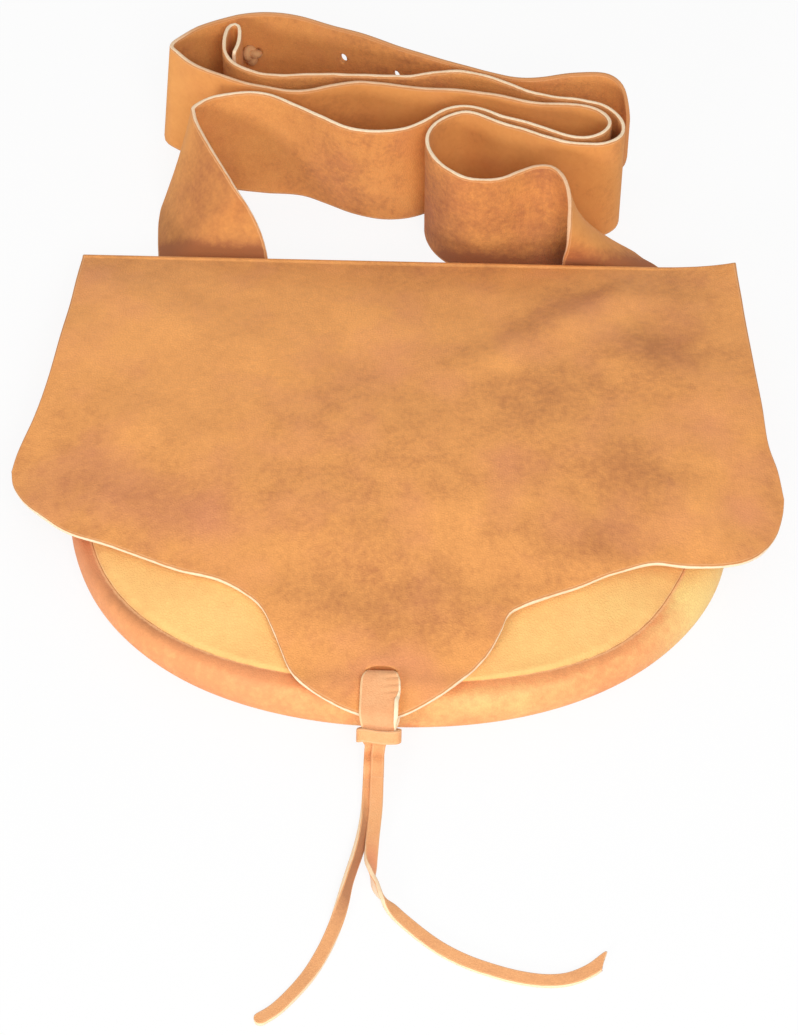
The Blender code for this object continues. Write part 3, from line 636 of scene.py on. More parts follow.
@dataclass(frozen=True)
class Leather:
    """A finish of tanned hide: its uneven dye, its grain, the wear along its edges and its sheen.

    Relief and nap are the heights of the grain and of the flesh side's fibres, in metres. The rim's
    reach is how far in from an edge its wear goes, in millimetres.
    """

    name: str
    base: Colour
    light: Colour
    dark: Colour
    red: Colour
    worn: Colour
    edge: CutEdge
    flesh_shift: float = 0.25
    flesh_clouds: float = 0.6
    clouds: float = 30.0
    cloudiness: float = 1.0
    cells: float = 900.0
    creases: float = 0.4
    pores: float = 0.22
    relief: float = 0.0002
    bump: float = 0.8
    nap: float = 0.00035
    nap_rate: float = 1700.0
    nap_bump: float = 0.55
    rim_reach: float = 1.1
    wear: float = 0.75
    roughness: float = 0.62
    flesh_roughness: float = 0.16
    specular: float = 0.25
    flesh_specular: float = 0.14
    sheen: float = 0.04
    sheen_roughness: float = 0.5
    flesh: Colour | None = None

    def material(self, face: Face) -> bpy.types.Material:
        """Make the material of one face of a piece in this leather.

        Args:
            face: Which face.

        Returns:
            The material.
        """
        if face is Face.EDGE:
            return self.edge.material()
        return self.skin(face is Face.FLESH)

    def skin(self, fleshy: bool) -> bpy.types.Material:
        """Make the grain side's material, or the flesh side's, which is duller, rougher and has a nap.

        Args:
            fleshy: Whether it is the flesh side.

        Returns:
            The material.
        """
        name = self.name + ("_flesh" if fleshy else "_grain")
        found = bpy.data.materials.get(name)
        if found:
            return found
        made, w, shader = open_material(name)
        place = w.add("TexCoord").outputs["Object"]
        dye = self.dyed(w, place, fleshy)
        grain = w.add("Group", {"Vector": place, "Cells per metre": self.cells, "Creases": self.creases},
                      node_tree=SharedNodes.grain())
        from_edge = w.add("Attribute", attribute_name="from_edge").outputs["Fac"]
        rim = w.add("Group", {"Vector": place, "From Edge": from_edge, "Reach": self.rim_reach},
                    node_tree=SharedNodes.rim())
        pores = w.math("MULTIPLY", grain.outputs["Pores"], 0.0 if fleshy else self.pores)
        colour = w.mix(pores, dye.outputs["Color"], self.dark)
        colour = w.mix(w.math("MULTIPLY", rim.outputs["Mask"], self.wear), colour, self.worn)
        w.feed(shader.inputs["Base Color"], colour)
        if fleshy:
            nap = w.noise(place, self.nap_rate, 4.0, 0.7)
            bump = w.add("Bump", {"Height": nap, "Strength": self.nap_bump, "Distance": self.nap})
        else:
            height = grain.outputs["Height"]
            bump = w.add("Bump", {"Height": height, "Strength": self.bump, "Distance": self.relief})
        w.feed(shader.inputs["Normal"], bump.outputs["Normal"])
        rough = w.map(dye.outputs["Lightness"], -1.0, 1.0, self.roughness + 0.08, self.roughness - 0.06)
        rough = w.math("ADD", rough, self.flesh_roughness if fleshy else 0.0)
        w.feed(shader.inputs["Roughness"], rough)
        specular = self.flesh_specular if fleshy else self.specular
        shader.inputs["Specular IOR Level"].default_value = specular
        shader.inputs["Sheen Weight"].default_value = self.sheen
        shader.inputs["Sheen Roughness"].default_value = self.sheen_roughness
        return made

    def dyed(self, w: Wiring, place: Socket, fleshy: bool) -> bpy.types.Node:
        """Add the uneven dye, fed by the piece's own tone, which on some pieces is painted shade and light,
        and by its blush.

        Args:
            w: The material's wiring.
            place: Where the pattern is read.
            fleshy: Whether it is the flesh side.

        Returns:
            The dye's group node.
        """
        tone = w.add("Attribute", attribute_name="tone").outputs["Fac"]
        if fleshy:
            tone = w.math("ADD", tone, self.flesh_shift)
        values = {
            "Vector": place,
            "Base": self.flesh if fleshy and self.flesh else self.base,
            "Light": self.light,
            "Dark": self.dark,
            "Red": self.red,
            "Clouds per metre": self.clouds,
            "Cloudiness": self.cloudiness * (self.flesh_clouds if fleshy else 1.0),
            "Tone": tone,
            "Blush": w.add("Attribute", attribute_name="blush").outputs["Fac"],
        }
        return w.add("Group", values, node_tree=SharedNodes.dye())


PALE_EDGE = CutEdge("cut_edge_pale", from_hex("fce6c4"), from_hex("cf8b52"))
LACE_EDGE = CutEdge("cut_edge_lace", from_hex("f8dcb6"), from_hex("eaa66e"))
TAB_EDGE = CutEdge("cut_edge_tab", from_hex("fdebc8"), from_hex("eab982"), line=(0.75, 1.15))

FLAP_LEATHER = Leather(
    "flap_leather", **dyes(base="e89e59", light="fcae62", dark="c27d4a", red="e5946a", worn="ecb07a"),
    edge=PALE_EDGE, clouds=27.0, cloudiness=1.35,
)
FRONT_LEATHER = Leather(
    "front_leather", **dyes(base="f6bf74", light="fdd684", dark="dc9c60", red="f4b078", worn="f3c58b"),
    edge=PALE_EDGE, clouds=22.0, cloudiness=0.7,
)
GUSSET_LEATHER = Leather(
    "gusset_leather", **dyes(base="ee9f64", light="fdd888", dark="bc7c50", red="f09a6a", worn="f3b983"),
    edge=PALE_EDGE, clouds=24.0, cloudiness=0.7,
)
BACK_LEATHER = Leather(
    "back_leather", **dyes(base="d89656", light="e8a868", dark="b3753f", red="cc7f50", worn="e2a56c"),
    edge=PALE_EDGE, clouds=18.0, cloudiness=0.9,
)
STRAP_LEATHER = Leather(
    "strap_leather", **dyes(base="e39b56", light="f0aa60", dark="ae6c44", red="d2825a", worn="e8ae78"),
    edge=PALE_EDGE, clouds=28.0, cloudiness=1.3,
)
# its dark colour is also the colour of the left free end's painted shade
LACE_LEATHER = Leather(
    "lace_leather", **dyes(base="f2ae74", light="f9c08a", dark="bf845c", red="f09a70", worn="f6cba0",
        flesh="f0dcc0"),
    edge=LACE_EDGE, clouds=70.0, cloudiness=0.7, cells=1300.0, relief=0.00014, rim_reach=0.5,
    flesh_shift=0.0,
)
TAB_LEATHER = Leather(
    "tab_leather", **dyes(base="ecaa76", light="f8c28c", dark="d29262", red="f2a47c", worn="f8d0a4",
        flesh="f0dcc0"),
    edge=TAB_EDGE, clouds=60.0, cloudiness=0.8, cells=1100.0, relief=0.00016, rim_reach=0.6,
    flesh_shift=0.0,
)
THONG_LEATHER = Leather(
    "thong_leather", **dyes(base="cc9458", light="e2ac6c", dark="986438", red="b0744c", worn="d8a878"),
    edge=LACE_EDGE, clouds=120.0, cells=1500.0, relief=0.00025, roughness=0.7,
)


@dataclass
class Hide:
    """A closed piece of leather round a grid of points on its middle surface.

    The grain side faces the way that the grid's rows crossed with its columns point. The cut edge is a
    squarish half round: its points move by the outward direction times cos^p and by the surface's
    normal times sin^p of an angle that goes from the grain side to the flesh side.
    """

    name: str
    grid: Array
    thickness: float
    finish: Leather
    tone: Array | float = 0.0
    blush: Array | float = 0.0
    pale: Array | float = 1.0
    bulge: float = 0.4
    squareness: float = 0.62
    room_share: float = 0.7
    rim_steps: int = 6
    rim_length: float = 1.4

    def normals(self) -> Array:
        """Work out the grid's unit normals, as its rows' direction crossed with its columns'."""
        return unit(np.cross(np.gradient(self.grid, axis=0), np.gradient(self.grid, axis=1)))

    def loop(self) -> Array:
        """List the grid's border points, once round, turning left about the normal.

        Returns:
            Their flat indices.
        """
        rows, columns = self.grid.shape[:2]
        index = np.arange(rows * columns).reshape(rows, columns)
        return np.concatenate([index[:-1, 0], index[-1, :-1], index[:0:-1, -1], index[0, :0:-1]])

    def room(self, loop: Array, outward: Array) -> Array:
        """Measure how far each border point's next line inwards lies, straight in from the edge.

        Args:
            loop: The border's flat indices.
            outward: The directions out of the piece.

        Returns:
            One distance for each border point.
        """
        rows, columns = self.grid.shape[:2]
        r, c = np.divmod(loop, columns)
        inner = self.grid[np.clip(r, 1, rows - 2), np.clip(c, 1, columns - 2)]
        return np.abs(((self.grid[r, c] - inner) * outward).sum(1))

    def rings(self, loop: Array, normal: Array, turns: Array) -> Array:
        """Round the cut edge with rings of points, from the grain side to the flesh side.

        Args:
            loop: The border's flat indices.
            normal: The grid's normals, one row each.
            turns: The angle of each ring.

        Returns:
            The rings' points, one ring for each angle.
        """
        centre, out_of = self.grid.reshape(-1, 3)[loop], normal[loop]
        run = unit(np.roll(centre, -1, axis=0) - np.roll(centre, 1, axis=0))
        outward = unit(np.cross(run, out_of))
        angle = turns[:, None, None]
        reach = np.abs(np.cos(angle)) ** self.squareness - 1.0
        rise = np.sign(np.sin(angle)) * np.abs(np.sin(angle)) ** self.squareness
        room = self.room(loop, outward) * self.room_share
        round_by = np.minimum(self.thickness * self.bulge, room)[:, None]
        return centre + outward * round_by * reach + out_of * (self.thickness / 2) * rise

    def mesh(self) -> bpy.types.Mesh:
        """Make the closed mesh, with its UV map and its wear and colour attributes.

        Returns:
            The mesh, in metres, in the row's frame.
        """
        rows, columns = self.grid.shape[:2]
        flat = self.grid.reshape(-1, 3)
        normal = self.normals().reshape(-1, 3)
        loop = self.loop()
        count, size = rows * columns, len(loop)
        turns = np.linspace(math.pi / 2, -math.pi / 2, self.rim_steps + 1)
        rings = self.rings(loop, normal, turns)
        half = self.thickness / 2
        grain, under = flat + normal * half, flat - normal * half
        grain[loop], under[loop] = rings[0], rings[-1]
        verts = np.vstack([grain, under, rings[1:-1].reshape(-1, 3)])
        i = np.arange(count).reshape(rows, columns)
        quads = np.stack([i[:-1, :-1], i[1:, :-1], i[1:, 1:], i[:-1, 1:]], axis=2).reshape(-1, 4)
        middle = 2 * count + np.arange((self.rim_steps - 1) * size).reshape(-1, size)
        ring_ids = np.vstack([loop[None], middle, loop[None] + count])
        after = np.roll(ring_ids, -1, axis=1)
        sides = np.stack([ring_ids[:-1], ring_ids[1:], after[1:], after[:-1]], axis=2).reshape(-1, 4)
        faces = np.vstack([quads, quads[:, ::-1] + count, sides])
        made = bpy.data.meshes.new(self.name)
        made.from_pydata(to_metres(verts).tolist(), [], faces.tolist())
        slots = np.repeat([f.value for f in (Face.GRAIN, Face.FLESH, Face.EDGE)],
                          [len(quads), len(quads), len(sides)]).astype(np.int32)
        made.polygons.foreach_set("material_index", slots)
        made.polygons.foreach_set("use_smooth", np.ones(len(faces), bool))
        self.add_uv(made, quads, size)
        self.add_attributes(made, loop, turns / (math.pi / 2))
        made.update()
        return made

    def add_uv(self, made: bpy.types.Mesh, quads: Array, size: int) -> None:
        """Lay the piece's own map: metres across and along it, and round its edge.

        Args:
            made: The mesh.
            quads: The grid's faces.
            size: How many points the border has.
        """
        lengths = [np.linalg.norm(np.diff(self.grid, axis=a), axis=2).mean(axis=1 - a) for a in (0, 1)]
        v, u = (np.concatenate([[0.0], np.cumsum(steps)]) * MM for steps in lengths)
        flat = np.stack(np.meshgrid(u, v), axis=2).reshape(-1, 2)
        round_it = along(self.grid.reshape(-1, 3)[self.loop()]) * MM
        step = self.thickness * self.rim_length * MM / self.rim_steps
        a = np.broadcast_to(round_it, (self.rim_steps, size))
        b = a + round_it[1]
        top = np.broadcast_to(np.arange(self.rim_steps)[:, None] * step, a.shape)
        side = np.stack([a, top, a, top + step, b, top + step, b, top], axis=2).reshape(-1, 2)
        corners = np.vstack([flat[quads].reshape(-1, 2), flat[quads[:, ::-1]].reshape(-1, 2), side])
        made.uv_layers.new(name="hide").data.foreach_set("uv", corners.astype(np.float32).ravel())

    def add_attributes(self, made: bpy.types.Mesh, loop: Array, side: Array) -> None:
        """Store each point's distance from the edge, its shares of tone, red and paleness, and where it
        is across the cut edge: 1 at the grain side, -1 at the flesh side.

        Args:
            made: The mesh.
            loop: The border's flat indices.
            side: Where each ring is across the edge.
        """
        shape = self.grid.shape[:2]
        count = shape[0] * shape[1]
        faces = np.ones(count)
        stored = {"edge_side": np.concatenate([faces, -faces, np.repeat(side[1:-1], len(loop))])}
        fields = {"from_edge": edge_distance(self.grid), "tone": self.tone}
        fields |= {"blush": self.blush, "pale": self.pale}
        for label, values in fields.items():
            flat = np.broadcast_to(np.asarray(values, float), shape).reshape(-1)
            stored[label] = np.concatenate([flat, flat, np.tile(flat[loop], self.rim_steps - 1)])
        for label, values in stored.items():
            made.attributes.new(label, "FLOAT", "POINT").data.foreach_set("value", values.astype(np.float32))

    def build(self) -> Piece:
        """Make the piece's object and dress it in its leather.

        Returns:
            The object, at the origin.
        """
        thing = add_object(self.name, self.mesh())
        for face in Face:
            thing.data.materials.append(self.finish.material(face))
        log.info("%s: %d faces", self.name, len(thing.data.polygons))
        return thing


def cut_holes(thing: Piece, cutters: list[Piece]) -> None:
    """Cut closed shapes out of a piece and keep the result as its mesh.

    Args:
        thing: The piece.
        cutters: What is cut out. They are removed afterwards.
    """
    for cutter in cutters:
        change = thing.modifiers.new(cutter.name, "BOOLEAN")
        change.operation = "DIFFERENCE"
        change.solver = "EXACT"
        change.object = cutter
    bpy.context.view_layer.update()
    graph = bpy.context.evaluated_depsgraph_get()
    shaped = thing.evaluated_get(graph)
    thing.data = bpy.data.meshes.new_from_object(shaped, preserve_all_data_layers=True, depsgraph=graph)
    thing.modifiers.clear()
    for cutter in cutters:
        bpy.data.objects.remove(cutter)


def drum(
    name: str, centre: Array, axis: Row, up: Row, radii: Row, length: float, sides: int = 32,
) -> Piece:
    """Make a closed oval drum, for cutting a hole: a ring of points swept along its axis.

    Args:
        name: The object's name.
        centre: Its middle, in the bag's frame.
        axis: The direction that the hole runs in.
        up: The direction of the second radius.
        radii: Its two radii.
        length: Its length.
        sides: How many flat sides it has.

    Returns:
        The drum's object.
    """
    turn = np.linspace(0.0, 2 * math.pi, sides, endpoint=False)[:, None]
    axis, up = np.asarray(axis, float), np.asarray(up, float)
    ring = centre + np.cross(up, axis) * radii[0] * np.cos(turn) + up * radii[1] * np.sin(turn)
    verts = to_metres(np.vstack([ring - axis * length / 2, ring + axis * length / 2]))
    i = np.arange(sides)
    j = (i + 1) % sides
    walls = np.stack([i, j, j + sides, i + sides], axis=1).tolist()
    mesh = bpy.data.meshes.new(name)
    mesh.from_pydata(verts.tolist(), [], [*walls, i[::-1].tolist(), (i + sides).tolist()])
    mesh.materials.append(PALE_EDGE.material())
    return add_object(name, mesh)


def dress(thing: Piece, body: Body, slot: str, *nodes: str) -> Piece:
    """Let a piece ride on its body and hide the solids that it stands for.

    Args:
        thing: The piece.
        body: The body that it rides on.
        slot: The record's material slot; not used.
        nodes: The solids that it stands for.

    Returns:
        The piece.
    """
    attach(thing, body.value)
    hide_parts(*nodes)
    return thing


@dataclass(frozen=True)
class Outline:
    """The body's outline from above, which the panels and the gusset share.

    Its sides are straight down to the shoulder, and its bottom is a superellipse, |x|^n + |y|^n = 1.
    """

    top_half: float = 132.0
    shoulder_half: float = 127.0
    shoulder_y: float = -120.0
    bottom_y: float = -228.0
    last_angle: float = math.radians(88.5)

    def half_width(self, y: Array) -> Array:
        """Read the half width beside the straight sides, at places along the bag."""
        share = (y - self.shoulder_y) / -self.shoulder_y
        return self.shoulder_half + (self.top_half - self.shoulder_half) * share

    def corner(self, angles: Array, side_inset: Array, bottom_inset: Array, roundness: Array) -> tuple:
        """Work out the round bottom: each of cos and sin of the angle, to the power 2 / n.

        Args:
            angles: From 0 at the shoulder to a right angle at the bottom.
            side_inset: How far inside the outline it is at the side.
            bottom_inset: How far inside the outline it is at the bottom.
            roundness: The superellipse's n.

        Returns:
            x and y.
        """
        power = 2.0 / roundness
        x = (self.shoulder_half - side_inset) * np.cos(angles) ** power
        y = self.shoulder_y + (self.bottom_y + bottom_inset - self.shoulder_y) * np.sin(angles) ** power
        return x, y


@dataclass
class BagBody:
    """The back, the domed front and the gusset between them.

    The counts of rows are those round the bottom, up the sides and over the curl. Each swell is its
    height, its wave's length and its seed. Each pair is where something starts and where it is whole,
    or where it starts to end and where it is gone.
    """

    outline: Outline = field(default_factory=Outline)
    crown: HeightLine = HeightLine(CROWN)
    roundness: float = 2.15
    seam_roundness: float = 2.42
    seam_z: float = 16.6
    seam: float = 0.6
    right_seam_shift: float = 6.5
    shift_above: Pair = (-214.0, -165.0)
    shift_below: Pair = (-20.0, -130.0)
    shift_beside: Pair = (10.0, 95.0)
    back_inset: float = 4.1
    back_rows: tuple[int, int, int] = (44, 30, 22)
    back_columns: int = 61
    back_mottle: Row = (0.25, 70.0, 3)
    front_inset_side: float = 8.4
    front_inset_bottom: float = 11.5
    front_overlap: float = 0.5
    front_rows: tuple[int, int] = (56, 48)
    front_columns: int = 117
    fullness: float = 2.6
    front_swell: Row = (0.5, 62.0, 5)
    swell_inside: Pair = (2.0, 20.0)
    seam_dip: float = 1.3
    dip_end: Pair = (0.0, 5.0)
    pucker_height: float = 0.22
    pucker_pace: float = 1.35
    pucker_end: Pair = (1.0, 9.0)
    # painted shade along the front's seamed edge: how dark, how far in from the edge, and where along the
    # bag it comes in
    seam_shade: float = 0.7
    seam_shade_reach: float = 2.0
    seam_shade_from: Pair = (20.0, 30.0)
    mouth_margin: float = 6.0
    gusset_top_y: float = -7.0
    gusset_rows: tuple[int, int] = (60, 40)
    gusset_columns: int = 27
    gusset_swell: Row = (0.3, 46.0, 11)
    tuck_depth: float = 1.1
    tuck_from: Pair = (0.86, 1.0)
    # painted shade in the gusset's crease: its darkness everywhere, more past the middle and more on the
    # left, and its reach
    crease_shade_depths: Row = (0.6, 0.35, 0.5)
    crease_shade_reaches: Pair = (1.7, 1.9)
    front_tones: tuple[Row, ...] = (
        (-72, -196, 34, 12, 0.35), (84, -186, 26, 10, 0.3), (60, -200, 24, 8, 0.25),
        (-100, -170, 16, 14, 0.2), (112, -160, 12, 14, 0.25),
    )
    gusset_tones: tuple[Row, ...] = (
        (-122, -135, 12, 26, -0.6), (108, -160, 26, 30, 1.5), (0, -226, 60, 16, 0.3),
    )
    gusset_reds: tuple[Row, ...] = ((-112, -150, 22, 30, 0.7), (-60, -214, 40, 14, 0.35))

    def seam_shift(self, x: Array, y: Array) -> Array:
        """Read how far the front seam moves in x: inwards on the right, most just below the shoulder."""
        reach = ease(y, *self.shift_above) * ease(y, *self.shift_below)
        return -self.right_seam_shift * reach * ease(x, *self.shift_beside)

    def back_grid(self) -> Array:
        """Work out the flat back, whose top curls forward on a quarter circle up to the fold.

        Returns:
            The back's middle surface.
        """
        bottom_rows, side_rows, curl_rows = self.back_rows
        angles = np.linspace(self.outline.last_angle, 0.0, bottom_rows)
        half, y = self.outline.corner(angles, self.back_inset, self.back_inset, self.roundness)
        side_y = np.linspace(self.outline.shoulder_y, -CURL_RADIUS, side_rows)[1:]
        turn = np.linspace(0.0, math.pi / 2, curl_rows)[1:]
        y = np.concatenate([y, side_y, -CURL_RADIUS + CURL_RADIUS * np.sin(turn)])
        half = np.concatenate([half, self.outline.half_width(y[len(half):]) - self.back_inset])
        z = np.full(len(y), PANEL_T / 2)
        z[-len(turn):] += CURL_RADIUS * (1.0 - np.cos(turn))
        x = half[:, None] * np.linspace(-1.0, 1.0, self.back_columns)
        return sheet(x, y[:, None], z[:, None])

    def front_grid(self) -> Array:
        """Work out the front: its height falls from the crown line to the seam as 1 - |share|^n, its
        rim dips into the seam, and beside the seam it puckers as a sine of the distance along it.

        Returns:
            The front's middle surface.
        """
        bottom_rows, side_rows = self.front_rows
        angles = np.linspace(self.outline.last_angle, 0.0, bottom_rows)
        side = self.front_inset_side - self.front_overlap
        bottom = self.front_inset_bottom - self.front_overlap
        half, y = self.outline.corner(angles, side, bottom, self.seam_roundness)
        side_y = np.linspace(self.outline.shoulder_y, MOUTH_Y, side_rows)[1:]
        y = np.concatenate([y, side_y])[:, None]
        half = np.concatenate([half, self.outline.half_width(side_y) - side])
        share = np.linspace(-1.0, 1.0, self.front_columns)
        x = half[:, None] * share
        z = self.seam_z + (self.crown.at(y) - self.seam_z) * (1.0 - np.abs(share) ** self.fullness)
        grid = sheet(x + self.seam_shift(x, y), y, z)
        edge = edge_distance(grid)
        seamed = MOUTH_Y - y >= self.mouth_margin
        dip = self.seam_dip * (1.0 - ease(edge, *self.dip_end))
        pucker = self.pucker_height * np.sin(along(grid[:, 0])[:, None] / self.pucker_pace)
        pucker = pucker * (1.0 - ease(edge, *self.pucker_end))
        height, length, seed = self.front_swell
        swell = height * waves(grid[..., :2], length, seed) * ease(edge, *self.swell_inside)
        grid[..., 2] += swell + np.where(seamed, pucker, 0.0) - np.where(seamed, dip, 0.0)
        return grid

    def gusset_grid(self) -> Array:
        """Work out the gusset: a section that bulges from the back's edge out and up to the front's seam,
        its inset as 1 - sin and its height as 1 - cos of the same angle, carried round the outline.

        Returns:
            The gusset's middle surface.
        """
        half_t = PANEL_T / 2
        turn = (1.0 - np.cos(np.linspace(0.0, math.pi, self.gusset_columns))) * math.pi / 2
        swell = 1.0 - np.sin(turn)
        lower = turn < math.pi / 2
        reach_side = np.where(lower, self.back_inset, self.front_inset_side) - self.seam - half_t
        reach_bottom = np.where(lower, self.back_inset, self.front_inset_bottom) - self.seam - half_t
        inset, low_inset = half_t + reach_side * swell, half_t + reach_bottom * swell
        power = self.roundness + np.where(lower, 0.0, self.seam_roundness - self.roundness) * swell
        bottom_rows, side_rows = self.gusset_rows
        angles = np.linspace(0.0, self.outline.last_angle, bottom_rows)[1:, None]
        corner_x, corner_y = self.outline.corner(angles, inset, low_inset, power)
        side_y = np.linspace(self.gusset_top_y, self.outline.shoulder_y, side_rows)[:, None]
        side_x = self.outline.half_width(side_y) - inset
        x = np.vstack([side_x, corner_x])
        y = np.vstack([np.broadcast_to(side_y, side_x.shape), corner_y])
        into = np.clip(y + CURL_RADIUS, 0.0, CURL_RADIUS)
        foot = half_t + CURL_RADIUS - np.sqrt(CURL_RADIUS**2 - into**2)
        rise = (1.0 - np.cos(turn)) / 2
        z = foot + (self.seam_z - foot) * rise
        left = sheet(-x, y, z)
        right = sheet(x + self.seam_shift(x, y) * rise**2, y, z)[::-1]
        return self.rippled(np.vstack([left, right]), rise)

    def rippled(self, grid: Array, rise: Array) -> Array:
        """Tuck the gusset's upper edge in, and move its middle in and out by a swell along its length.

        Args:
            grid: The plain gusset.
            rise: Each column's share of the height.

        Returns:
            The gusset's middle surface.
        """
        grid[..., 2] -= self.tuck_depth * ease(rise, *self.tuck_from)
        height, length, seed = self.gusset_swell
        ripple = waves_along(along(grid[:, self.gusset_columns // 2])[:, None], length, seed)
        bulge = np.sin(rise * math.pi) * height * ripple
        ahead = np.gradient(grid, axis=0)
        outward = unit(np.stack([ahead[..., 1], -ahead[..., 0], 0 * ahead[..., 2]], axis=2))
        return grid - outward * bulge[..., None]

    def crease_shade(self, gusset: Array) -> Array:
        """Read the painted shade in the gusset's crease under the front: a bell over the distance from the
        seam, deeper and wider towards the left.

        Args:
            gusset: The gusset's middle surface.

        Returns:
            The painted shade at each grid point.
        """
        x = gusset[..., 0]
        section = along(gusset[self.gusset_rows[0]])
        least, middle, left = self.crease_shade_depths
        depth = middle * ease(x, 40.0, -30.0) + left * ease(x, -30.0, -110.0) + least
        reach = self.crease_shade_reaches[0] + self.crease_shade_reaches[1] * ease(x, -60.0, -122.0)
        return depth * np.exp(-(((section[-1] - section) / reach) ** 2))

    def make_back(self) -> None:
        """Build and dress the back."""
        grid = self.back_grid()
        strength, length, seed = self.back_mottle
        tone = strength * waves(grid[..., :2], length, seed)
        panel = Hide("back_leather_panel", grid, PANEL_T, BACK_LEATHER, tone=tone).build()
        dress(panel, Body.BAG, "tan_leather", "back_panel")

    def make_front(self) -> None:
        """Build and dress the front, with painted shade along its edge where it dips into the seam."""
        grid = self.front_grid()
        x, y = grid[..., 0], grid[..., 1]
        tone = patches(self.front_tones, x, y)
        # painted shade along the edge that dips into the seam
        shade = self.seam_shade * np.exp(-((edge_distance(grid) / self.seam_shade_reach) ** 2))
        tone -= shade * ease(-y, *self.seam_shade_from)
        grid, tone = grid[:, ::-1], tone[:, ::-1]
        panel = Hide("front_leather_panel", grid, PANEL_T, FRONT_LEATHER, tone=tone).build()
        dress(panel, Body.BAG, "pale_tan_leather", "front_panel")

    def make_gusset(self) -> None:
        """Build and dress the gusset."""
        grid = self.gusset_grid()
        x, y = grid[..., 0], grid[..., 1]
        # the gusset's patches of colour, less the painted shade in its crease
        tone = patches(self.gusset_tones, x, y) - self.crease_shade(grid)
        blush = patches(self.gusset_reds, x, y)
        strip = Hide("gusset_leather", grid, PANEL_T, GUSSET_LEATHER, tone=tone, blush=blush).build()
        dress(strip, Body.BAG, "pale_tan_leather", "gusset")

    def make(self) -> None:
        """Build and dress the three pieces."""
        self.make_back()
        self.make_front()
        self.make_gusset()


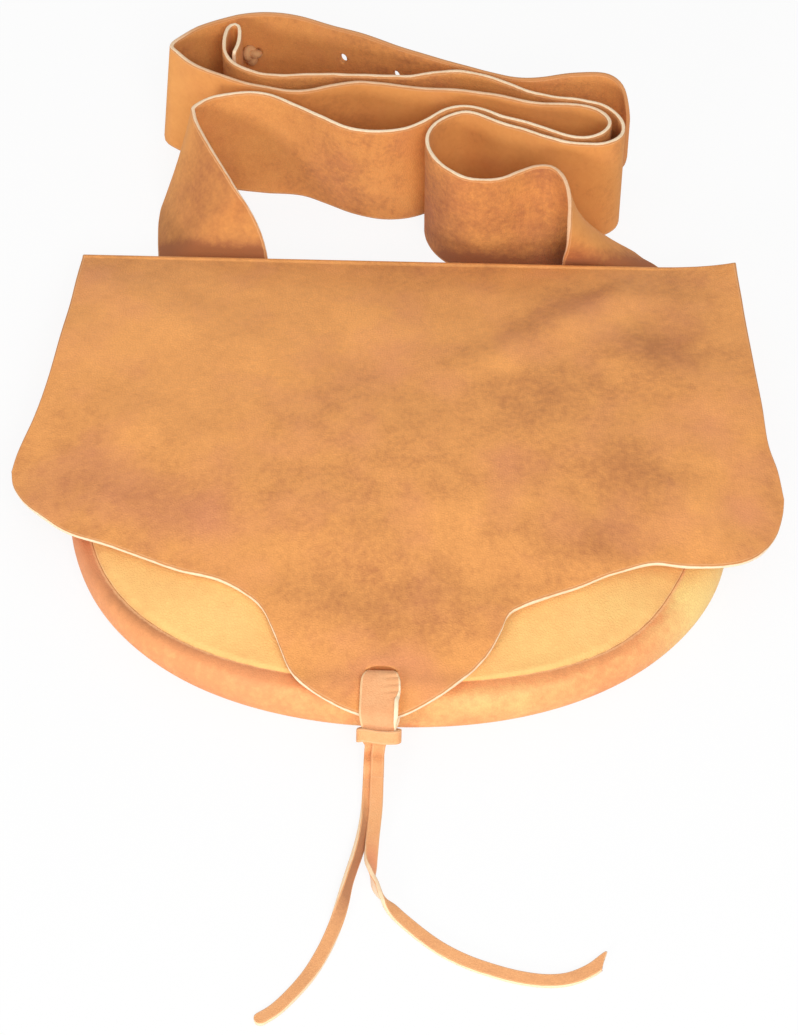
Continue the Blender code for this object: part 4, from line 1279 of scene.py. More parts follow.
@dataclass
class FrontFlap:
    """The flap: one hide that comes over the fold from the back and lies on the front.

    Its edges are points of how far they reach past the body's outline, and y. Each swell is its
    height, its wave's length and its seed. Each pair of a reach is where it starts and is whole.
    """

    outline: Outline = field(default_factory=Outline)
    crown: HeightLine = HeightLine((*CROWN, (-222.5, 16.1), (-229.0, 14.2), (-238.0, 11.6)))
    droop: HeightLine = HeightLine((
        (0.0, 0.0), (-30.0, 4.0), (-60.0, 8.0), (-100.0, 12.5), (-140.0, 15.0), (-240.0, 15.0),
    ))
    droop_half: float = 148.0
    droop_power: float = 2.4
    corner_lift: float = 4.5
    corner_reach: Pair = (34.0, 32.0)
    root_z: float = 20.3
    tongue_rise: Pair = (-175.0, -205.0)
    tongue_tip_y: float = -235.5
    tab_x: float = -4.1
    slit_y: float = -217.6
    slit_half: Pair = (5.6, 1.5)
    cutter_length: float = 9.0
    bend: tuple[Row, Row] = ((0.0, 2.3, 17.6), (0.0, -0.6, 20.6))
    sides: dict[Side, tuple[Row, ...]] = field(default_factory=lambda: {
        Side.LEFT: ((3.5, 0), (5.6, -25), (8.1, -50), (11.5, -75), (15.6, -95), (20.7, -112), (22.4, -121)),
        Side.RIGHT: ((1.0, 0), (4.3, -30), (7.7, -60), (10.3, -80), (12.5, -100), (16.2, -113),
                     (18.5, -127)),
    })
    corners: dict[Side, tuple[Row, ...]] = field(default_factory=lambda: {
        Side.LEFT: ((20.6, -129.0), (15.4, -138.0), (7.5, -146.5), (-4.2, -155.5)),
        Side.RIGHT: ((17.0, -136.0), (13.6, -147.0), (6.5, -157.0), (-4.5, -163.0)),
    })
    lower: dict[Side, tuple[Row, ...]] = field(default_factory=lambda: {
        Side.LEFT: ((-100.0, -166.0), (-82.0, -174.5), (-64.0, -180.5), (-50.0, -191.0), (-43.0, -204.0),
                    (-36.8, -217.5), (-29.0, -225.5), (-15.0, -233.0)),
        Side.RIGHT: ((107.0, -165.7), (94.0, -166.5), (81.0, -171.8), (68.0, -178.6), (56.5, -184.0),
                     (42.5, -192.0), (38.4, -201.0), (34.0, -209.5), (26.2, -218.5), (16.0, -227.5)),
    })
    fold_over: tuple[Row, ...] = (
        (2.15, 14.8), (2.25, 16.2), (2.3, 17.6), (2.2, 18.8), (1.75, 19.8), (0.95, 20.4),
    )
    ridge: tuple[Row, Row] = ((22.0, -74.0), (94.0, -14.0))
    ridge_height: float = 2.0
    ridge_half: float = 8.5
    ridge_ends: Row = (-24.0, 22.0, 14.0, -22.0)
    lip_height: float = 1.1
    lip_half: Pair = (4.8, 3.2)
    lip_above: float = 3.4
    broad_swell: Row = (0.45, 58.0, 21)
    broad_top: Pair = (4.0, 30.0)
    broad_low: Pair = (-205.0, -180.0)
    fine_swell: Row = (0.25, 24.0, 8)
    fine_top: Pair = (2.0, 12.0)
    least_pale: float = 0.25
    pale_from: Pair = (108.0, 132.0)
    mottle: float = 1.05
    # Some of these patches are painted light and shade: the turned ones along the diagonal ridge are dark on
    # its upper-left side and light on its lower-right, as a lamp from the front left lights it, and the dark
    # ones at (101, -55) and (80, -88) are partly the leather's own darker colour and partly painted shade
    # over a shallow hollow.
    tones: tuple[Row, ...] = (
        (-125, -128, 18, 16, -0.45), (-100, -138, 26, 12, -0.5), (-76, -149, 20, 12, -0.5),
        (-131, -105, 12, 12, -0.35), (70, -24, 24, 7, -0.6, 26), (48, -44, 26, 8, -0.6, 38),
        (14, -66, 26, 8, -0.5, 12), (101, -55, 18, 14, -0.75), (80, -88, 26, 14, -0.6),
        (84, -126, 22, 16, -0.75), (70, -158, 34, 12, -0.8), (44, -126, 14, 12, -0.35),
        (12, -196, 30, 18, -0.9), (-16, -168, 22, 10, -0.35), (-37, -150, 20, 10, -0.3),
        (0, -4, 150, 4, -0.3), (90, -30, 18, 6, 0.6, 30), (72, -48, 20, 7, 0.6, 38),
        (45, -68, 20, 7, 0.45, 20), (100, -98, 14, 12, 0.25), (44, -143, 6, 8, 0.9),
        (26, -150, 6, 7, 0.6), (44, -163, 6, 6, 0.6), (115, -140, 14, 9, 0.7),
        (106, -154, 22, 8, 0.45), (-76, -50, 70, 42, 0.95), (10, -40, 60, 26, 0.5),
        (-66, -92, 30, 18, 0.4), (-112, -32, 20, 24, 0.2), (-40, -215, 12, 12, 0.4),
        (-120, -70, 12, 20, 0.35),
    )
    reds: tuple[Row, ...] = (
        (-108, -136, 34, 18, 0.5), (-74, -150, 18, 12, 0.55), (43, -122, 22, 16, 0.35),
        (124, -100, 12, 26, 0.45), (128, -136, 12, 14, 0.45), (0, -220, 26, 14, 0.6),
        (86, -152, 40, 12, 0.3), (-14, -70, 30, 22, 0.3), (-128, -24, 10, 20, 0.3),
        (60, -50, 30, 14, 0.3, 35), (-40, -110, 40, 20, 0.2),
    )

    def edge(self, side: Side) -> list[Row]:
        """List x and y down one side of the flap, from how far it reaches past the body."""
        return [(side.value * (self.outline.half_width(y) + past), y) for past, y in self.sides[side]]

    def corner(self, side: Side) -> list[Row]:
        """List x and y round one lower corner, from how far it reaches past the shoulder."""
        return [(side.value * (self.outline.shoulder_half + past), y) for past, y in self.corners[side]]

    def lift(self, x: Array, y: Array) -> Array:
        """Read how far the fold's right end stands up: a share in x times a share in y, squared.

        Args:
            x: Places across the bag.
            y: Places along the bag.

        Returns:
            The rise in millimetres.
        """
        start = self.outline.top_half + self.sides[Side.RIGHT][0][0] - self.corner_reach[0]
        into_x = np.clip((x - start) / self.corner_reach[0], 0.0, 1.0)
        into_y = np.clip((y + self.corner_reach[1]) / self.corner_reach[1], 0.0, 1.0)
        return self.corner_lift * (into_x * into_y) ** 2

    def seat(self, x: Array, y: Array) -> Array:
        """Read the flap's middle height as it lies on the front: the crown line plus the leathers'
        thickness, less a droop that grows as |x|^n towards its sides.

        Args:
            x: Places across the bag.
            y: Places along the bag.

        Returns:
            The height at each place.
        """
        lift = (TAB_T + 3 * SEAT) * ease(-np.asarray(y, float), -self.tongue_rise[0], -self.tongue_rise[1])
        ridge = self.crown.at(y) + (PANEL_T + FLAP_T) / 2 + SEAT + lift
        near = np.clip(y / MOUTH_Y, 0.0, 1.0)
        ridge = np.where(y > MOUTH_Y, self.root_z + (ridge - self.root_z) * near, ridge)
        ridge = ridge + self.lift(x, y)
        return ridge - self.droop.at(y) * (np.abs(x) / self.droop_half) ** self.droop_power

    def relief(self, x: Array, y: Array) -> Array:
        """Read the flap's own unevenness: the soft diagonal ridge, the lip above the slit, and a swell.

        Args:
            x: Places across the bag.
            y: Places along the bag.

        Returns:
            What it adds to the height.
        """
        start, end = (np.array(p) for p in self.ridge)
        span = np.linalg.norm(end - start)
        run = (end - start) / span
        s = (x - start[0]) * run[0] + (y - start[1]) * run[1]
        d = (x - start[0]) * run[1] - (y - start[1]) * run[0]
        ridge = self.ridge_height * np.exp(-((d / self.ridge_half) ** 2))
        begins, whole, ends, fades = self.ridge_ends
        ridge = ridge * ease(s, begins, whole) * ease(s, span + ends, span + fades)
        lip_x = (x - self.tab_x) / self.lip_half[0]
        lip_y = (y - self.slit_y - self.lip_above) / self.lip_half[1]
        lip = self.lip_height * np.exp(-(lip_x**4) - lip_y**2)
        places = np.stack([x, y], axis=-1)
        height, length, seed = self.broad_swell
        broad = height * waves(places, length, seed) * ease(-y, *self.broad_top)
        broad = broad * ease(y, *self.broad_low)
        height, length, seed = self.fine_swell
        return ridge + lip + broad + height * waves(places, length, seed) * ease(-y, *self.fine_top)

    def grid(self, rows: int = 118, columns: int = 181) -> Array:
        """Fill the flap's outline by blending its four edges, lay it on its height, and add the rows
        that come over the fold.

        Args:
            rows: Rows from the fold to the lower edge.
            columns: Columns from side to side.

        Returns:
            The flap's middle surface.
        """
        down = np.linspace(0.0, 1.0, rows)
        left, right = (spread(smooth_curve(self.edge(side), 10), down) for side in (Side.LEFT, Side.RIGHT))
        top = np.linspace(left[0], right[0], columns)
        outline = [left[-1], *self.corner(Side.LEFT), *self.lower[Side.LEFT], (0.0, self.tongue_tip_y),
                   *self.lower[Side.RIGHT][::-1], *self.corner(Side.RIGHT)[::-1], right[-1]]
        lower = spread(smooth_curve(outline, 16), np.linspace(0.0, 1.0, columns))
        u = np.linspace(0.0, 1.0, columns)[None, :, None]
        v = down[:, None, None]
        flat = (
            (1 - v) * top[None] + v * lower[None] + (1 - u) * left[:, None] + u * right[:, None]
            - (1 - v) * ((1 - u) * top[0] + u * top[-1]) - v * ((1 - u) * lower[0] + u * lower[-1])
        )
        x, y = flat[..., 0], flat[..., 1]
        lying = np.dstack([flat, self.seat(x, y) + self.relief(x, y)])
        over = smooth_curve([*self.fold_over, (0.0, self.root_z)], 3)[:-1]
        share = np.linspace(0.0, 1.0, len(over))[:, None]
        fold_z = over[:, 1:] + (lying[0, :, 2] - self.root_z) * share**2
        return np.vstack([sheet(lying[0, :, 0], over[:, :1], fold_z), lying])

    def make(self) -> None:
        """Build the flap and cut its slit."""
        grid = self.grid()
        x, y = grid[..., 0], grid[..., 1]
        # the tones hold the leather's patches of colour and the painted light and shade beside the ridge
        tone = self.mottle * patches(self.tones, x, y)
        blush = self.mottle * patches(self.reds, x, y)
        pale = self.least_pale + (1.0 - self.least_pale) * ease(-y, *self.pale_from)
        flap = Hide("flap_leather_piece", grid, FLAP_T, FLAP_LEATHER, tone=tone, blush=blush, pale=pale,
                    bulge=0.34).build()
        height = float(self.seat(np.array(self.tab_x), np.array(self.slit_y)))
        middle = np.array([self.tab_x, self.slit_y, height])
        cut_holes(flap, [drum("slit_cutter", middle, UP, (0, 1, 0), self.slit_half, self.cutter_length)])
        start, end = (tuple(to_metres(np.array(point))) for point in self.bend)
        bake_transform(flap)
        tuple(start)
        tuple(end)
        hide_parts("flap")


@dataclass
class Closure:
    """The pull tab through the tongue's slit, and the lace hitched round its end.

    The tab's right edge rolls up, and the tab wrinkles, over spans that are counted from a place past
    the slit.
    """

    flap: FrontFlap = field(default_factory=FrontFlap)
    tab_width: float = 14.5
    pinched_width: float = 12.0
    neck_width: float = 9.6
    pinch: float = 1.2
    curl: float = 2.0
    slope: float = math.radians(45.0)
    hitch_y: float = -240.2
    hitch_drop: float = 3.4
    tab_short: float = 0.8
    tab_steps: int = 7
    upper_stations: int = 60
    roll_from: float = 7.5
    roll_width: float = 3.2
    roll_span: Row = (0.5, 7.0, 14.0, 18.0)
    wrinkle_span: Row = (-7.0, -4.0, 3.0, 7.0)
    wrinkle_beside: Pair = (-1.0, 5.0)
    wrinkle_height: float = 0.2
    wrinkle_length: float = 2.7
    wrinkle_slant: float = 0.3
    neck_x: Pair = (-7.0, -4.4)
    neck_lift: float = 2.2

    def over(self, y: float, off: float) -> Row:
        """Find y and z over or under the flap on the tab's line, off the flap's middle surface."""
        return y, float(self.flap.seat(np.array(self.flap.tab_x), np.array(y))) + off

    def hang(self, down: float, out: float) -> Row:
        """Find a place on the hanging tab.

        Args:
            down: How far it is down the tab from the hitch.
            out: How far it is out from the tab's middle.

        Returns:
            y and z.
        """
        y = self.hitch_y - down * math.cos(self.slope) - out * math.sin(self.slope)
        low = self.over(self.flap.tongue_tip_y, -self.hitch_drop)[1]
        return y, low - down * math.sin(self.slope) + out * math.cos(self.slope)

    def tab_line(self) -> list[Row]:
        """List y, z and width of the tab: up through the slit, over the tip and back beneath it.

        Returns:
            The rows.
        """
        off = (FLAP_T + TAB_T) / 2 + 2 * SEAT
        held = LACE_W / 2
        end = held - self.tab_short
        slit, tip, wide, neck = self.flap.slit_y, self.flap.tongue_tip_y, self.tab_width, self.neck_width
        held_wide = self.pinched_width
        return [
            (*self.over(slit + 9.0, -off), neck), (*self.over(slit + 3.6, -off), neck),
            (*self.over(slit + 0.9, -off * 0.55), neck), (*self.over(slit - 0.7, off * 0.5), neck),
            (*self.over(slit - 2.2, off * 0.97), wide - 2.6), (*self.over(slit - 4.4, off), wide - 0.6),
            (*self.over(slit - 8.0, off), wide), (*self.over(slit - 12.0, off), wide),
            (*self.over(tip, off), wide), (*self.hang(-held, self.pinch), held_wide + 0.5),
            (*self.hang(end - 1.2, self.pinch), held_wide),
            (*self.hang(end - 0.3, self.pinch * 0.7), held_wide), (*self.hang(end, 0.0), held_wide),
            (*self.hang(end - 0.3, -self.pinch * 0.7), held_wide),
            (*self.hang(end - 1.2, -self.pinch), held_wide),
            (*self.hang(-held, -self.pinch), held_wide + 0.5),
            (*self.over(tip + 2.0, -off), wide), (*self.over(slit - 7.5, -off), wide),
        ]

    def tab_grid(self) -> Array:
        """Work out the tab: its line, with a width across it, and its right edge rolled up on a small
        arc where it hangs over the tongue's tip.

        Returns:
            The tab's middle surface.
        """
        line = smooth_curve(self.tab_line(), self.tab_steps)
        middle = self.flap.tab_x
        x = middle + line[:, 2:] * np.linspace(-0.5, 0.5, 15)
        grid = sheet(x, line[:, :1], line[:, 1:2])
        distance = along(line[:, :2])
        upper = slice(self.upper_stations - 1, None, -1)
        start = np.interp(self.flap.slit_y - self.roll_from, line[upper, 0], distance[upper])
        distance = distance[:, None]
        rolled = plateau(distance, start + np.array(self.roll_span))
        into = np.clip(x - (middle + self.tab_width / 2 - self.roll_width), 0.0, None)
        angle = into / self.curl * rolled
        turned = np.where(rolled > 0, self.curl * np.sin(angle) / np.maximum(rolled, 1e-6), into)
        grid[..., 0] += np.where(into > 0, turned - into, 0.0)
        grid[..., 2] += np.where(into > 0, self.curl * (1.0 - np.cos(angle)), 0.0)
        wrinkle = plateau(distance, start + np.array(self.wrinkle_span))
        wrinkle = wrinkle * ease(x, *(middle + np.array(self.wrinkle_beside)))
        phase = 2 * math.pi * distance / self.wrinkle_length + self.wrinkle_slant * (x - middle)
        grid[..., 2] += self.wrinkle_height * wrinkle * np.sin(phase)
        return grid

    def hitch_rows(self) -> list[Row]:
        """List the lace's bight round the tab: points, and the lace's width across and up the tab.

        Returns:
            The rows.
        """
        reach = self.pinch + (TAB_T + LACE_T) / 2 + 2 * SEAT
        side = self.pinched_width / 2 + SEAT + LACE_T / 2
        left, right = self.flap.tab_x - side, self.flap.tab_x + side
        foot = TABLE_GAP + LACE_T / 2
        under, over = self.neck_x
        corner = LACE_T
        return [
            (under, LACE_EXIT_Y, foot + self.neck_lift, -1.0, 0.0),
            (under, LACE_EXIT_Y + 2.6, foot + self.neck_lift + 0.5, -1.0, 0.0),
            (under, *self.hang(10.6, -1.6), -1.0, 0.0),
            (under, *self.hang(7.0, -5.4), -1.0, 0.0),
            (under, *self.hang(3.6, -5.8), -1.0, 0.0),
            (under - 1.7, *self.hang(1.4, -5.0), -0.8, 0.6),
            (left + 0.9, *self.hang(0.0, -reach), 0.0, 1.0),
            (left, *self.hang(0.0, corner - reach), 0.0, 1.0),
            (left, *self.hang(0.0, 0.0), 0.0, 1.0),
            (left, *self.hang(0.0, reach - corner), 0.0, 1.0),
            (left + corner, *self.hang(-0.4, reach), 0.0, 1.0),
            (self.flap.tab_x, *self.hang(0.3, reach + 0.2), 0.0, 1.0),
            (right - corner, *self.hang(0.3, reach), 0.0, 1.0),
            (right, *self.hang(0.0, reach - corner), 0.0, 1.0),
            (right, *self.hang(0.0, 0.0), 0.0, 1.0),
            (right, *self.hang(0.0, corner - reach), 0.0, 1.0),
            (right - corner, *self.hang(0.0, -reach), 0.0, 1.0),
            (over + 3.6, *self.hang(0.0, -reach), 0.0, 1.0),
            (over + 1.0, *self.hang(1.6, -reach), 0.8, 0.6),
            (over, *self.hang(6.5, -2.6), 1.0, 0.0),
            (over, *self.hang(9.8, -0.4), 1.0, 0.0),
            (over, LACE_EXIT_Y + 2.6, foot + TAIL_RISE / 2 + self.neck_lift + 0.55, 1.0, 0.0),
            (over, LACE_EXIT_Y, foot + TAIL_RISE / 2 + self.neck_lift, 1.0, 0.0),
        ]

    def hitch_grid(self) -> Array:
        """Carry the lace's width along the bight, kept square to its run.

        Returns:
            The bight's middle surface.
        """
        rows = smooth_curve(self.hitch_rows(), 8)
        centre = rows[:, :3]
        up_tab = np.array([0.0, math.cos(self.slope), math.sin(self.slope)])
        wide = rows[:, 3:4] * [1.0, 0.0, 0.0] + rows[:, 4:] * up_tab
        ahead = unit(np.gradient(centre, axis=0))
        wide = unit(wide - ahead * (wide * ahead).sum(1, keepdims=True))
        share = np.linspace(-0.5, 0.5, 7)[None, :, None]
        return centre[:, None] + wide[:, None] * LACE_W * share

    def make(self) -> None:
        """Build and dress the tab and the lace's bight."""
        grid = self.tab_grid()
        past_slit = -self.flap.slit_y
        rolled_edge = ease(grid[..., 0] - self.flap.tab_x, 1.0, 4.0)
        rolled_edge *= ease(-grid[..., 1], past_slit + 4.0, past_slit + 8.0)
        tab = Hide("closure_tab_leather", grid, TAB_T, TAB_LEATHER, pale=0.2 + 0.8 * rolled_edge).build()
        dress(tab, Body.FLAP, "lace_leather", "closure_tab")
        grid = self.hitch_grid()
        pale = 0.45 * ease(grid[..., 1], LACE_EXIT_Y + 1.0, LACE_EXIT_Y + 6.0)
        bight = Hide("lace_hitch_leather", grid, LACE_T, LACE_LEATHER, pale=pale, bulge=0.3).build()
        dress(bight, Body.FLAP, "lace_leather", "lace_hitch")


@dataclass
class LaceTail:
    """A free end of the lace: a flat thong that lies on the table and turns over where it bends.

    Its rolls are turns in degrees by the distance along it. Where it leaves the hitch it is lifted,
    and moved aside, by shares that fall to nothing along it. Its shades, which are painted shade, and
    its reds are bells over the same distance.
    """

    name: str
    node: str
    start_x: float
    rise: float
    route: tuple[Row, ...]
    rolls: tuple[Row, ...]
    gap: float = 0.5
    tucked: float = 1.6
    spacing: float = 0.9
    lift: float = 2.2
    lift_reach: float = 23.0
    tip_round: float = 2.2
    slant: float = 0.0
    slant_reach: float = 9.0
    aside: float = 0.0
    aside_reach: Pair = (8.0, 36.0)
    pale_from: Pair = (1.0, 14.0)
    shades: tuple[Row, ...] = ()
    reds: tuple[Row, ...] = ()

    def path(self) -> Array:
        """Run a smooth curve through the route's points, as the solid's own line does."""
        start = (self.start_x, LACE_EXIT_Y - self.gap, self.rise)
        return smooth_curve([start, *self.route], 4) + [0.0, 0.0, LACE_W / 2 + TABLE_GAP]

    def grid(self) -> Array:
        """Carry the thong's width along the line. A roll turns it about the line, and it lies as low as
        the roll lets it.

        Returns:
            The thong's middle surface.
        """
        path = self.path()
        path[:, 0] += self.aside * (1.0 - ease(along(path), *self.aside_reach))
        fine = smooth_curve(np.vstack([path[:1] + [0.0, self.tucked, 0.0], path]), 3)
        distance = along(fine)
        total = distance[-1]
        wanted, half = strip_stations(total, LACE_W, (self.tip_round, 9, 0.999), self.spacing)
        fine = stations_at(fine, distance, wanted)
        roll_curve = smooth_curve(np.array(self.rolls, float), 8)
        roll = np.radians(np.interp(wanted, roll_curve[:, 0], roll_curve[:, 1]))[:, None]
        ahead = unit(np.gradient(fine, axis=0) * [1.0, 1.0, 0.0])
        flat = np.column_stack([-ahead[:, 1], ahead[:, 0], np.zeros(len(fine))])
        wide = flat * np.cos(roll) + np.array(UP) * np.sin(roll)
        raised = (fine[:, 2:] - LACE_W / 2 - TABLE_GAP) / 2
        past_neck = wanted[:, None] - (self.tucked - self.gap)
        raised = raised + self.lift * np.clip(1.0 - past_neck / self.lift_reach, 0.0, None) ** 2
        height = raised + LACE_W / 2 * np.abs(np.sin(roll)) + LACE_T / 2 * np.abs(np.cos(roll)) + TABLE_GAP
        centre = np.column_stack([fine[:, :2], height])
        share = np.linspace(-1.0, 1.0, 9)[None, :, None]
        grid = centre[:, None] + wide[:, None] * half[:, None, None] * share
        slanted = self.slant * ease(wanted, total - self.slant_reach, total)[:, None, None]
        return grid + ahead[:, None] * slanted * share

    def make(self) -> Piece:
        """Returns:
            The thong's object.
        """
        grid = self.grid()
        distance = along(grid[:, grid.shape[1] // 2])[:, None]
        # the shades are painted shade
        tone, blush = bells(distance, self.shades), bells(distance, self.reds)
        thong = Hide(self.name, grid, LACE_T, LACE_LEATHER, tone=tone, blush=blush,
                     pale=ease(distance, *self.pale_from), bulge=0.3).build()
        dress(thong, Body.FLAP, "lace_leather", self.node)
        path = to_metres(self.path())
        length = float(along(path)[-1])
        tuple(path[0])
        return thong


LEFT_TAIL = LaceTail(
    "lace_tail_left_thong", "lace_tail_left", -8.2, 0.0,
    ((-8.4, -265.0, 0.0), (-9.0, -275.0, 0.0), (-10.4, -285.0, 0.0), (-12.6, -295.0, 0.0),
     (-14.4, -305.0, 0.0), (-16.6, -314.0, 0.0), (-19.8, -323.5, 0.0), (-24.2, -333.0, 0.0),
     (-29.4, -341.0, 0.0), (-35.0, -347.6, 0.0), (-41.0, -352.0, 0.0)),
    ((0, 0), (10, -12), (18, -34), (30, -56), (44, -60), (54, -34), (62, -8), (80, 0), (95, 6), (115, 0)),
    # painted shade where the left end rolls onto its edge beside the right end
    aside=1.2, shades=((36.0, 20.0, -2.2),),
)
RIGHT_TAIL = LaceTail(
    "lace_tail_right_thong", "lace_tail_right", -4.8, TAIL_RISE,
    ((-4.7, -264.0, 3.2), (-5.0, -272.0, 2.9), (-5.2, -280.0, 2.2), (-5.1, -288.0, 0.4),
     (-3.6, -296.0, 0.0), (1.4, -304.5, 0.0), (10.0, -313.0, 0.0), (19.0, -320.5, 0.0),
     (28.0, -325.7, 0.0), (37.0, -329.2, 0.0), (46.0, -331.7, 0.0), (55.0, -332.8, 0.0),
     (63.0, -331.8, 0.0), (70.0, -328.3, 0.0), (75.0, -324.0, 0.0)),
    ((0, 0), (22, -4), (34, -30), (41, -80), (46, -100), (52, -66), (58, -16), (70, 0), (100, 4), (140, 0),
     (175, 0)),
    tip_round=0.7, slant=3.0, aside=0.4, reds=((36.0, 8.0, 0.8),),
)


def upright(*points: Row) -> tuple[Row, ...]:
    """Turn points of x and y into rows of a strap's route that stand upright on the table."""
    return tuple((*point, 0.0, 90.0) for point in points)


@dataclass
class StandingStrap:
    """A shoulder strap that stands on its edge in loops.

    Each row of its route is x, y, the lower edge's height and the lean: 90 stands upright. The kicks
    move its lower edge sideways and the top kicks its upper edge, row by row. The shades are painted
    shade, and some painted light, across its whole width, and the foot shades are painted shade near its
    lower edge: each is a bell over the rows. The fold shade is the fold's painted shadow: it darkens the
    strap where it comes up behind the fold, between two heights above a plane that slants down towards
    the fold.
    """

    name: str
    node: str
    side: Side
    anchor_x: float
    route: tuple[Row, ...]
    grain_out: bool
    round_tip: bool
    width: float = 50.8
    seat: float = 0.4
    anchor_angles: Row = (30.0, 37.5, 45.0)
    tip_round: float = 17.0
    square_tip: float = 1.5
    holes: tuple[Row, ...] = ()
    hole_radii: Row = (1.7, 2.3)
    steps: int = 7
    spacing: float = 1.9
    columns: int = 25
    seed: int = 1
    wave_heights: Pair = (0.4, 0.22)
    wave_lengths: Pair = (52.0, 19.0)
    mottle: Pair = (0.3, 90.0)
    paleness: tuple[Row, ...] = ((0, 0.9), (99, 0.9))
    kicks: Row = (0.0, 0.0)
    top_kicks: Row = (0.0, 0.0)
    kicks_from: int = 8
    # painted shade and light across the strap, the fold's painted shadow, and painted shade near its lower
    # edge with its reach in height
    shades: tuple[Row, ...] = ()
    fold_shade: Row = (17.0, 27.0, -1.5)
    foot_shades: tuple[Row, ...] = ()
    foot_reach: float = 9.0
    # the slope of the fold shadow's plane, about the camera's own, so the painted shadow follows the fold as
    # the camera sees it
    slant: float = math.radians(47.0)

    def rows(self) -> tuple[Array, Array, Array]:
        """Work out the strap's stations from its anchor on the curl and its route.

        Returns:
            The centre line, the direction to the upper edge, and the run's direction.
        """
        radius = CURL_RADIUS + PANEL_T / 2 + self.seat + STRAP_T / 2
        turn = np.radians(self.anchor_angles)
        anchor = np.column_stack([
            np.full(len(turn), self.anchor_x), -CURL_RADIUS + radius * np.sin(turn),
            PANEL_T / 2 + CURL_RADIUS - radius * np.cos(turn) - STRAP_T / 2, np.zeros(len(turn)),
        ])
        rows = smooth_curve(np.vstack([anchor, np.array(self.route, float)]), self.steps)
        lean = np.radians(np.clip(rows[:, 3], 0.0, 90.0))
        height = np.maximum(rows[:, 2], 0.0) + self.width / 2 * np.sin(lean) + STRAP_T / 2 * np.cos(lean)
        centre = np.column_stack([rows[:, :2], height])
        run = unit(np.gradient(rows[:, :2], axis=0))
        up = np.column_stack([-run[:, 1], run[:, 0], np.zeros(len(run))]) * self.side.value
        up *= np.cos(lean)[:, None]
        up[:, 2] = np.sin(lean)
        return centre, up, run

    def kick_at(self, row: Array, kicks: Row) -> Array:
        """Read a table of kicks, one for each row from the first kicked one on, at these rows."""
        table = smooth_curve(np.column_stack([self.kicks_from + np.arange(len(kicks)), kicks]), 6)
        return np.interp(row, table[:, 0], table[:, 1])

    def grid(self) -> tuple[Array, Array, Array]:
        """Carry the strap's width along its route, with a calm wave in its upper edge and round corners
        at its tip: there the half width falls as a quarter circle.

        Returns:
            The strap's middle surface, how pale its cut edge is at each station, and its painted shade and
            light.
        """
        centre, up, run = self.rows()
        distance = along(centre)
        tip = (self.tip_round if self.round_tip else self.square_tip, 15, 0.9999)
        wanted, half = strip_stations(distance[-1], self.width, tip, self.spacing)
        row = np.interp(wanted, distance, np.arange(len(distance)) / self.steps)
        pale = np.interp(row, *np.array(self.paleness, float).T)
        foot_kick, top_kick = (self.kick_at(row, k)[:, None, None] for k in (self.kicks, self.top_kicks))
        centre, up, run = (stations_at(v, distance, wanted) for v in (centre, up, run))
        nearer = np.column_stack([run[:, 1], -run[:, 0], 0 * wanted])[:, None]
        share = np.linspace(-1.0, 1.0, self.columns)
        (broad, fine), (long, short) = self.wave_heights, self.wave_lengths
        wave = broad * waves_along(wanted, long, self.seed)
        wave = wave + fine * waves_along(wanted, short, self.seed + 40)
        reach = half[:, None] * share + wave[:, None] * np.clip(share, 0.0, None) ** 2
        low = ((1.0 - share) / 2.0)[None, :, None]
        kick = foot_kick * low + top_kick * (1.0 - low)
        grid = centre[:, None] + unit(up)[:, None] * reach[..., None] + nearer * kick
        # painted shade: bells over the rows, the foot ones fading with height above the table
        foot = np.exp(-((grid[..., 2] / self.foot_reach) ** 2))
        shade = bells(row, self.shades)[:, None] + bells(row, self.foot_shades)[:, None] * foot
        # the fold's painted shadow, between two heights above the slanted plane
        over_fold = grid[..., 1] * math.sin(self.slant) + grid[..., 2] * math.cos(self.slant)
        shade = shade + self.fold_shade[2] * (1.0 - ease(over_fold, self.fold_shade[0], self.fold_shade[1]))
        return grid, pale, shade

    def place(self, from_tip: float, drop: float) -> tuple[Array, Array]:
        """Find a place on the strap, that far from its tip and under its upper edge.

        Args:
            from_tip: The distance along the strap.
            drop: The distance from the upper edge.

        Returns:
            The place and the direction through the strap.
        """
        centre, up, run = self.rows()
        distance = along(centre)
        at = np.array([distance[-1] - from_tip])
        point = stations_at(centre + up * (self.width / 2 - drop), distance, at)[0]
        ahead = np.append(stations_at(run, distance, at)[0], 0.0)
        ahead /= np.linalg.norm(ahead)
        return point, np.array([-ahead[1], ahead[0], 0.0])

    def make(self) -> None:
        """Build the strap, punch its holes and dress it."""
        grid, pale, shade = self.grid()
        if not self.grain_out:
            grid, shade = grid[:, ::-1], shade[:, ::-1]
        length = along(grid[:, self.columns // 2])[:, None]
        tone = shade + self.mottle[0] * waves_along(length, self.mottle[1], self.seed + 7)
        strap = Hide(self.name, grid, STRAP_T, STRAP_LEATHER, tone=tone, pale=pale[:, None]).build()
        cutters = []
        for i, hole in enumerate(self.holes):
            point, through = self.place(*hole)
            cutters.append(drum(f"punch_{i}", point, through, UP, self.hole_radii, 3 * STRAP_T))
        if cutters:
            cut_holes(strap, cutters)
        dress(strap, Body.BAG, "strap_leather", self.node)


